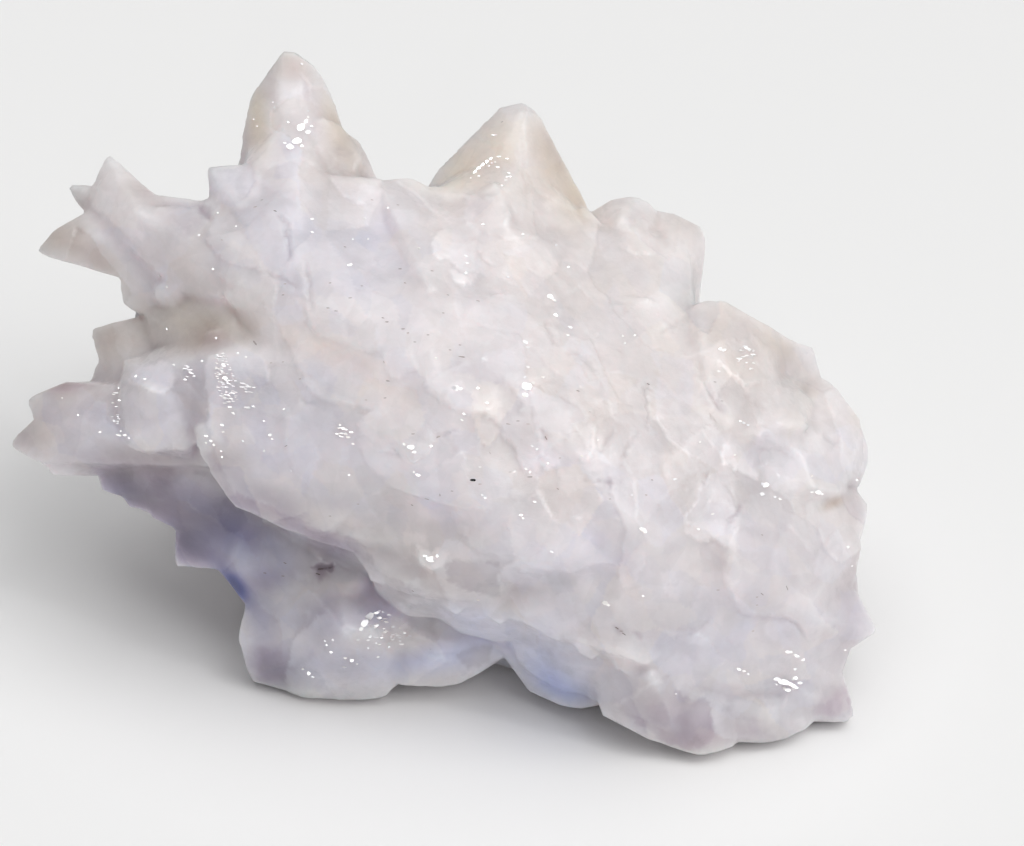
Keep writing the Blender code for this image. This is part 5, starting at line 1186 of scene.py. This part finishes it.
def chip(bm, across, down, size, long=1.5, turn=0.0, stray=1.2, sides=5):
    """One small closed crystal whose flat top catches the light."""
    p, own = on(across, down)
    if p is None:
        return
    source = GLINT_LOW if across < 420 and down > 600 else GLINT_AT
    n = ((EYE - p).normalized() + (source - p).normalized()).normalized()
    n = (n + Vector([rng.gauss(0, math.radians(stray)) for _ in range(3)])).normalized()
    e = (EYE - p).normalized()
    x = (RIGHT - n * RIGHT.dot(n)).normalized()
    y = n.cross(x)
    c, s = math.cos(turn), math.sin(turn)
    r = size * UNIT * 0.5
    lift = 0.07 + min(0.8, 0.5 * r * long * math.sqrt(max(0.0, 1 - n.dot(own) ** 2)))
    top = p + e * lift
    ring = []
    for i in range(sides):
        t = (i + rng.uniform(-0.3, 0.3)) * 2 * math.pi / sides
        q = rng.uniform(0.75, 1.05) * r
        a, b = math.cos(t) * q * long, math.sin(t) * q
        ring.append(top + x * (a * c - b * s) + y * (a * s + b * c))
    add_hull(bm, ring + [top + (q - top) * 0.55 - own * (0.5 + r * 0.6) - e * lift for q in ring])


chips = bmesh.new()
for across, down, size in GLINTS:
    chip(chips, across, down, size, rng.uniform(1.1, 2.0), rng.uniform(-0.4, 0.4), 1.2, rng.choice((4, 5, 6)))
for across, down, long_, wide_, turn in STROKES:
    chip(chips, across, down, wide_, long_ / wide_, -math.radians(turn), 0.3, 7)
for count, small_size, large_size, corners in DASHES:
    pts = np.array(corners, float)
    made = 0
    while made < count:
        x = rng.uniform(float(pts[:, 0].min()), float(pts[:, 0].max()))
        y = rng.uniform(float(pts[:, 1].min()), float(pts[:, 1].max()))
        if inside(np.array([x]), np.array([y]), corners)[0] > 0:
            chip(chips, x, y, rng.uniform(small_size, large_size), rng.uniform(2.4, 5.0), rng.uniform(-0.15, 0.15), 1.2, 5)
            made += 1
# a few hundred more, all over and turned at random, for the other sides
skin_faces = [p for p in me.polygons if p.normal.z > -0.7]
areas = np.cumsum([p.area for p in skin_faces])
for _ in range(420):
    f = skin_faces[int(np.searchsorted(areas, rng.random() * areas[-1]))]
    p, own = Vector(f.center) / MM, Vector(f.normal)
    if seen_from_eye(skin_tree, p + own * 0.1, 0.4) or p.z < 2.0:
        continue
    n = (own + Vector([rng.gauss(0, 0.3) for _ in range(3)])).normalized()
    x = n.orthogonal().normalized()
    y = n.cross(x)
    r = rng.uniform(0.15, 0.42)
    k = rng.choice((4, 5, 6))
    ring = []
    for i in range(k):
        t = (i + rng.uniform(-0.3, 0.3)) * 2 * math.pi / k
        ring.append(p + own * (0.06 + 0.3 * r) + x * math.cos(t) * r * rng.uniform(0.8, 1.6) + y * math.sin(t) * r)
    add_hull(chips, ring + [p + (q - p) * 0.5 - own * 0.7 for q in ring])
chip_me = bpy.data.meshes.new("bright_faces")
chips.to_mesh(chip_me)
chips.free()
chip_ob = bpy.data.objects.new("bright_faces", chip_me)
bpy.context.scene.collection.objects.link(chip_ob)
shine = Nodes("calcite_bright")
# a whiter colour than the calcite's, a painted highlight, keeps these faces bright beside their reflection of the spark
# lamps
tint = shine.ramp(shine.cloud(300.0, 2.0, 3.0), [(0.4, rgb("EDE9F0")), (0.6, rgb("F6F1EC"))])
shine.links.new(tint, shine.bsdf.inputs["Base Color"])
gloss = shine.ramp(shine.cloud(500.0, 2.0, 5.0), [(0.4, (0.10, 0.10, 0.10)), (0.6, (0.20, 0.20, 0.20))])
shine.links.new(gloss, shine.bsdf.inputs["Roughness"])
shine.bsdf.inputs["IOR"].default_value = 1.6
shine.bsdf.inputs["Subsurface Weight"].default_value = 0.6
shine.bsdf.inputs["Subsurface Radius"].default_value = (1.0, 0.9, 0.9)
shine.bsdf.inputs["Subsurface Scale"].default_value = 0.001
chip_me.materials.append(shine.mat)
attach(chip_ob, "root")

grains = bmesh.new()
dark_of = []
for across, down, long_, turn, dark in GRAINS:
    p, own = on(across, down)
    if p is None:
        continue
    x = (RIGHT * math.cos(math.radians(turn)) - UP * math.sin(math.radians(turn)))
    x = (x - own * x.dot(own)).normalized()
    y = own.cross(x)
    a = long_ * UNIT * 0.5
    b_ = a * (0.36 if dark > 0.9 else rng.uniform(0.16, 0.26))
    ring = [p + x * math.cos(t) * a * rng.uniform(0.85, 1.1) + y * math.sin(t) * max(b_, 0.07) * rng.uniform(0.8, 1.2)
            for t in [i * math.pi / 3 for i in range(6)]]
    before = len(grains.faces)
    add_hull(grains, [q + own * 0.05 for q in ring] + [p + (q - p) * 0.6 - own * 0.25 for q in ring])
    dark_of += [dark] * (len(grains.faces) - before)
grain_me = bpy.data.meshes.new("dark_grains")
grains.to_mesh(grain_me)
grains.free()
shade_of = grain_me.attributes.new("darkness", "FLOAT", "FACE")
shade_of.data.foreach_set("value", np.array(dark_of, dtype=np.float32))
grain_ob = bpy.data.objects.new("dark_grains", grain_me)
bpy.context.scene.collection.objects.link(grain_ob)
soil = Nodes("grain_look")
tint = soil.ramp(soil.attr("darkness"), [(0.3, rgb("CAC2C3")), (0.6, rgb("9F9593")), (1.0, rgb("1E1A1A"))])
tint = soil.mix("MULTIPLY", 1.0, tint, soil.ramp(soil.cloud(600.0, 3.0, 1.0), [(0.4, (0.85, 0.85, 0.85)), (0.6, (1.1, 1.08, 1.05))]))
soil.links.new(tint, soil.bsdf.inputs["Base Color"])
soil.bsdf.inputs["Roughness"].default_value = 0.7
grain_me.materials.append(soil.mat)
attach(grain_ob, "root")
print("chips", len(chip_me.polygons), "grains", len(grain_me.polygons))

# ---------------------------------------------------------------- floor, light, camera
bpy.ops.mesh.primitive_plane_add(size=6.0, location=(0, 0, -0.0002))
floor = bpy.context.active_object
floor.name = "floor"
fmat = bpy.data.materials.new("floor")
fmat.use_nodes = True
fb = fmat.node_tree.nodes["Principled BSDF"]
fb.inputs["Base Color"].default_value = (0.88, 0.88, 0.88, 1)
fb.inputs["Roughness"].default_value = 0.9
fb.inputs["Specular IOR Level"].default_value = 0.1
floor.data.materials.append(fmat)


def area(name, where, aim, size, power, tint=(1, 1, 1)):
    light = bpy.data.lights.new(name, "AREA")
    light.shape = "DISK"
    light.size = size
    light.energy = power
    light.color = tint
    o = bpy.data.objects.new(name, light)
    bpy.context.scene.collection.objects.link(o)
    o.location = where
    o.rotation_euler = (Vector(where) - Vector(aim)).to_track_quat("Z", "Y").to_euler()
    return o


world = bpy.data.worlds.new("studio")
bpy.context.scene.world = world
world.use_nodes = True
bg = world.node_tree.nodes["Background"]
bg.inputs["Color"].default_value = (1.0, 1.0, 1.0, 1)
bg.inputs["Strength"].default_value = 0.21


def sky(name, round_, up, strength, wide, tint=(1, 1, 1)):
    """A soft far light; round_ is degrees from the back toward the right, up is degrees above the floor."""
    light = bpy.data.lights.new(name, "SUN")
    light.energy = strength
    light.angle = math.radians(wide)
    light.color = tint
    o = bpy.data.objects.new(name, light)
    bpy.context.scene.collection.objects.link(o)
    a, e = math.radians(round_), math.radians(up)
    d = Vector((math.sin(a) * math.cos(e), math.cos(a) * math.cos(e), math.sin(e)))
    o.rotation_euler = d.to_track_quat("Z", "Y").to_euler()
    return o


sky("over", 0, 85, 1.07, 60)
sky("key", 120, 50, 1.55, 50, (1.0, 0.995, 0.985))
area("spark", tuple(GLINT_AT * MM), (0, 0, 0.04), 0.05, 0.30)
area("spark low", tuple(GLINT_LOW * MM), (0, 0, 0.04), 0.05, 0.14)

cam = bpy.data.cameras.new("camera")
cam_ob = bpy.data.objects.new("camera", cam)
bpy.context.scene.collection.objects.link(cam_ob)
cam.sensor_width = 36.0
cam.lens = 18.0 / (81.92 / 420.0)
cam.clip_start, cam.clip_end = 0.01, 20.0
cam_ob.matrix_world = Matrix.Translation(EYE * MM) @ Matrix((RIGHT, UP, TOWARD)).transposed().to_4x4()
bpy.context.scene.camera = cam_ob
bpy.context.scene.view_settings.view_transform = "Standard"
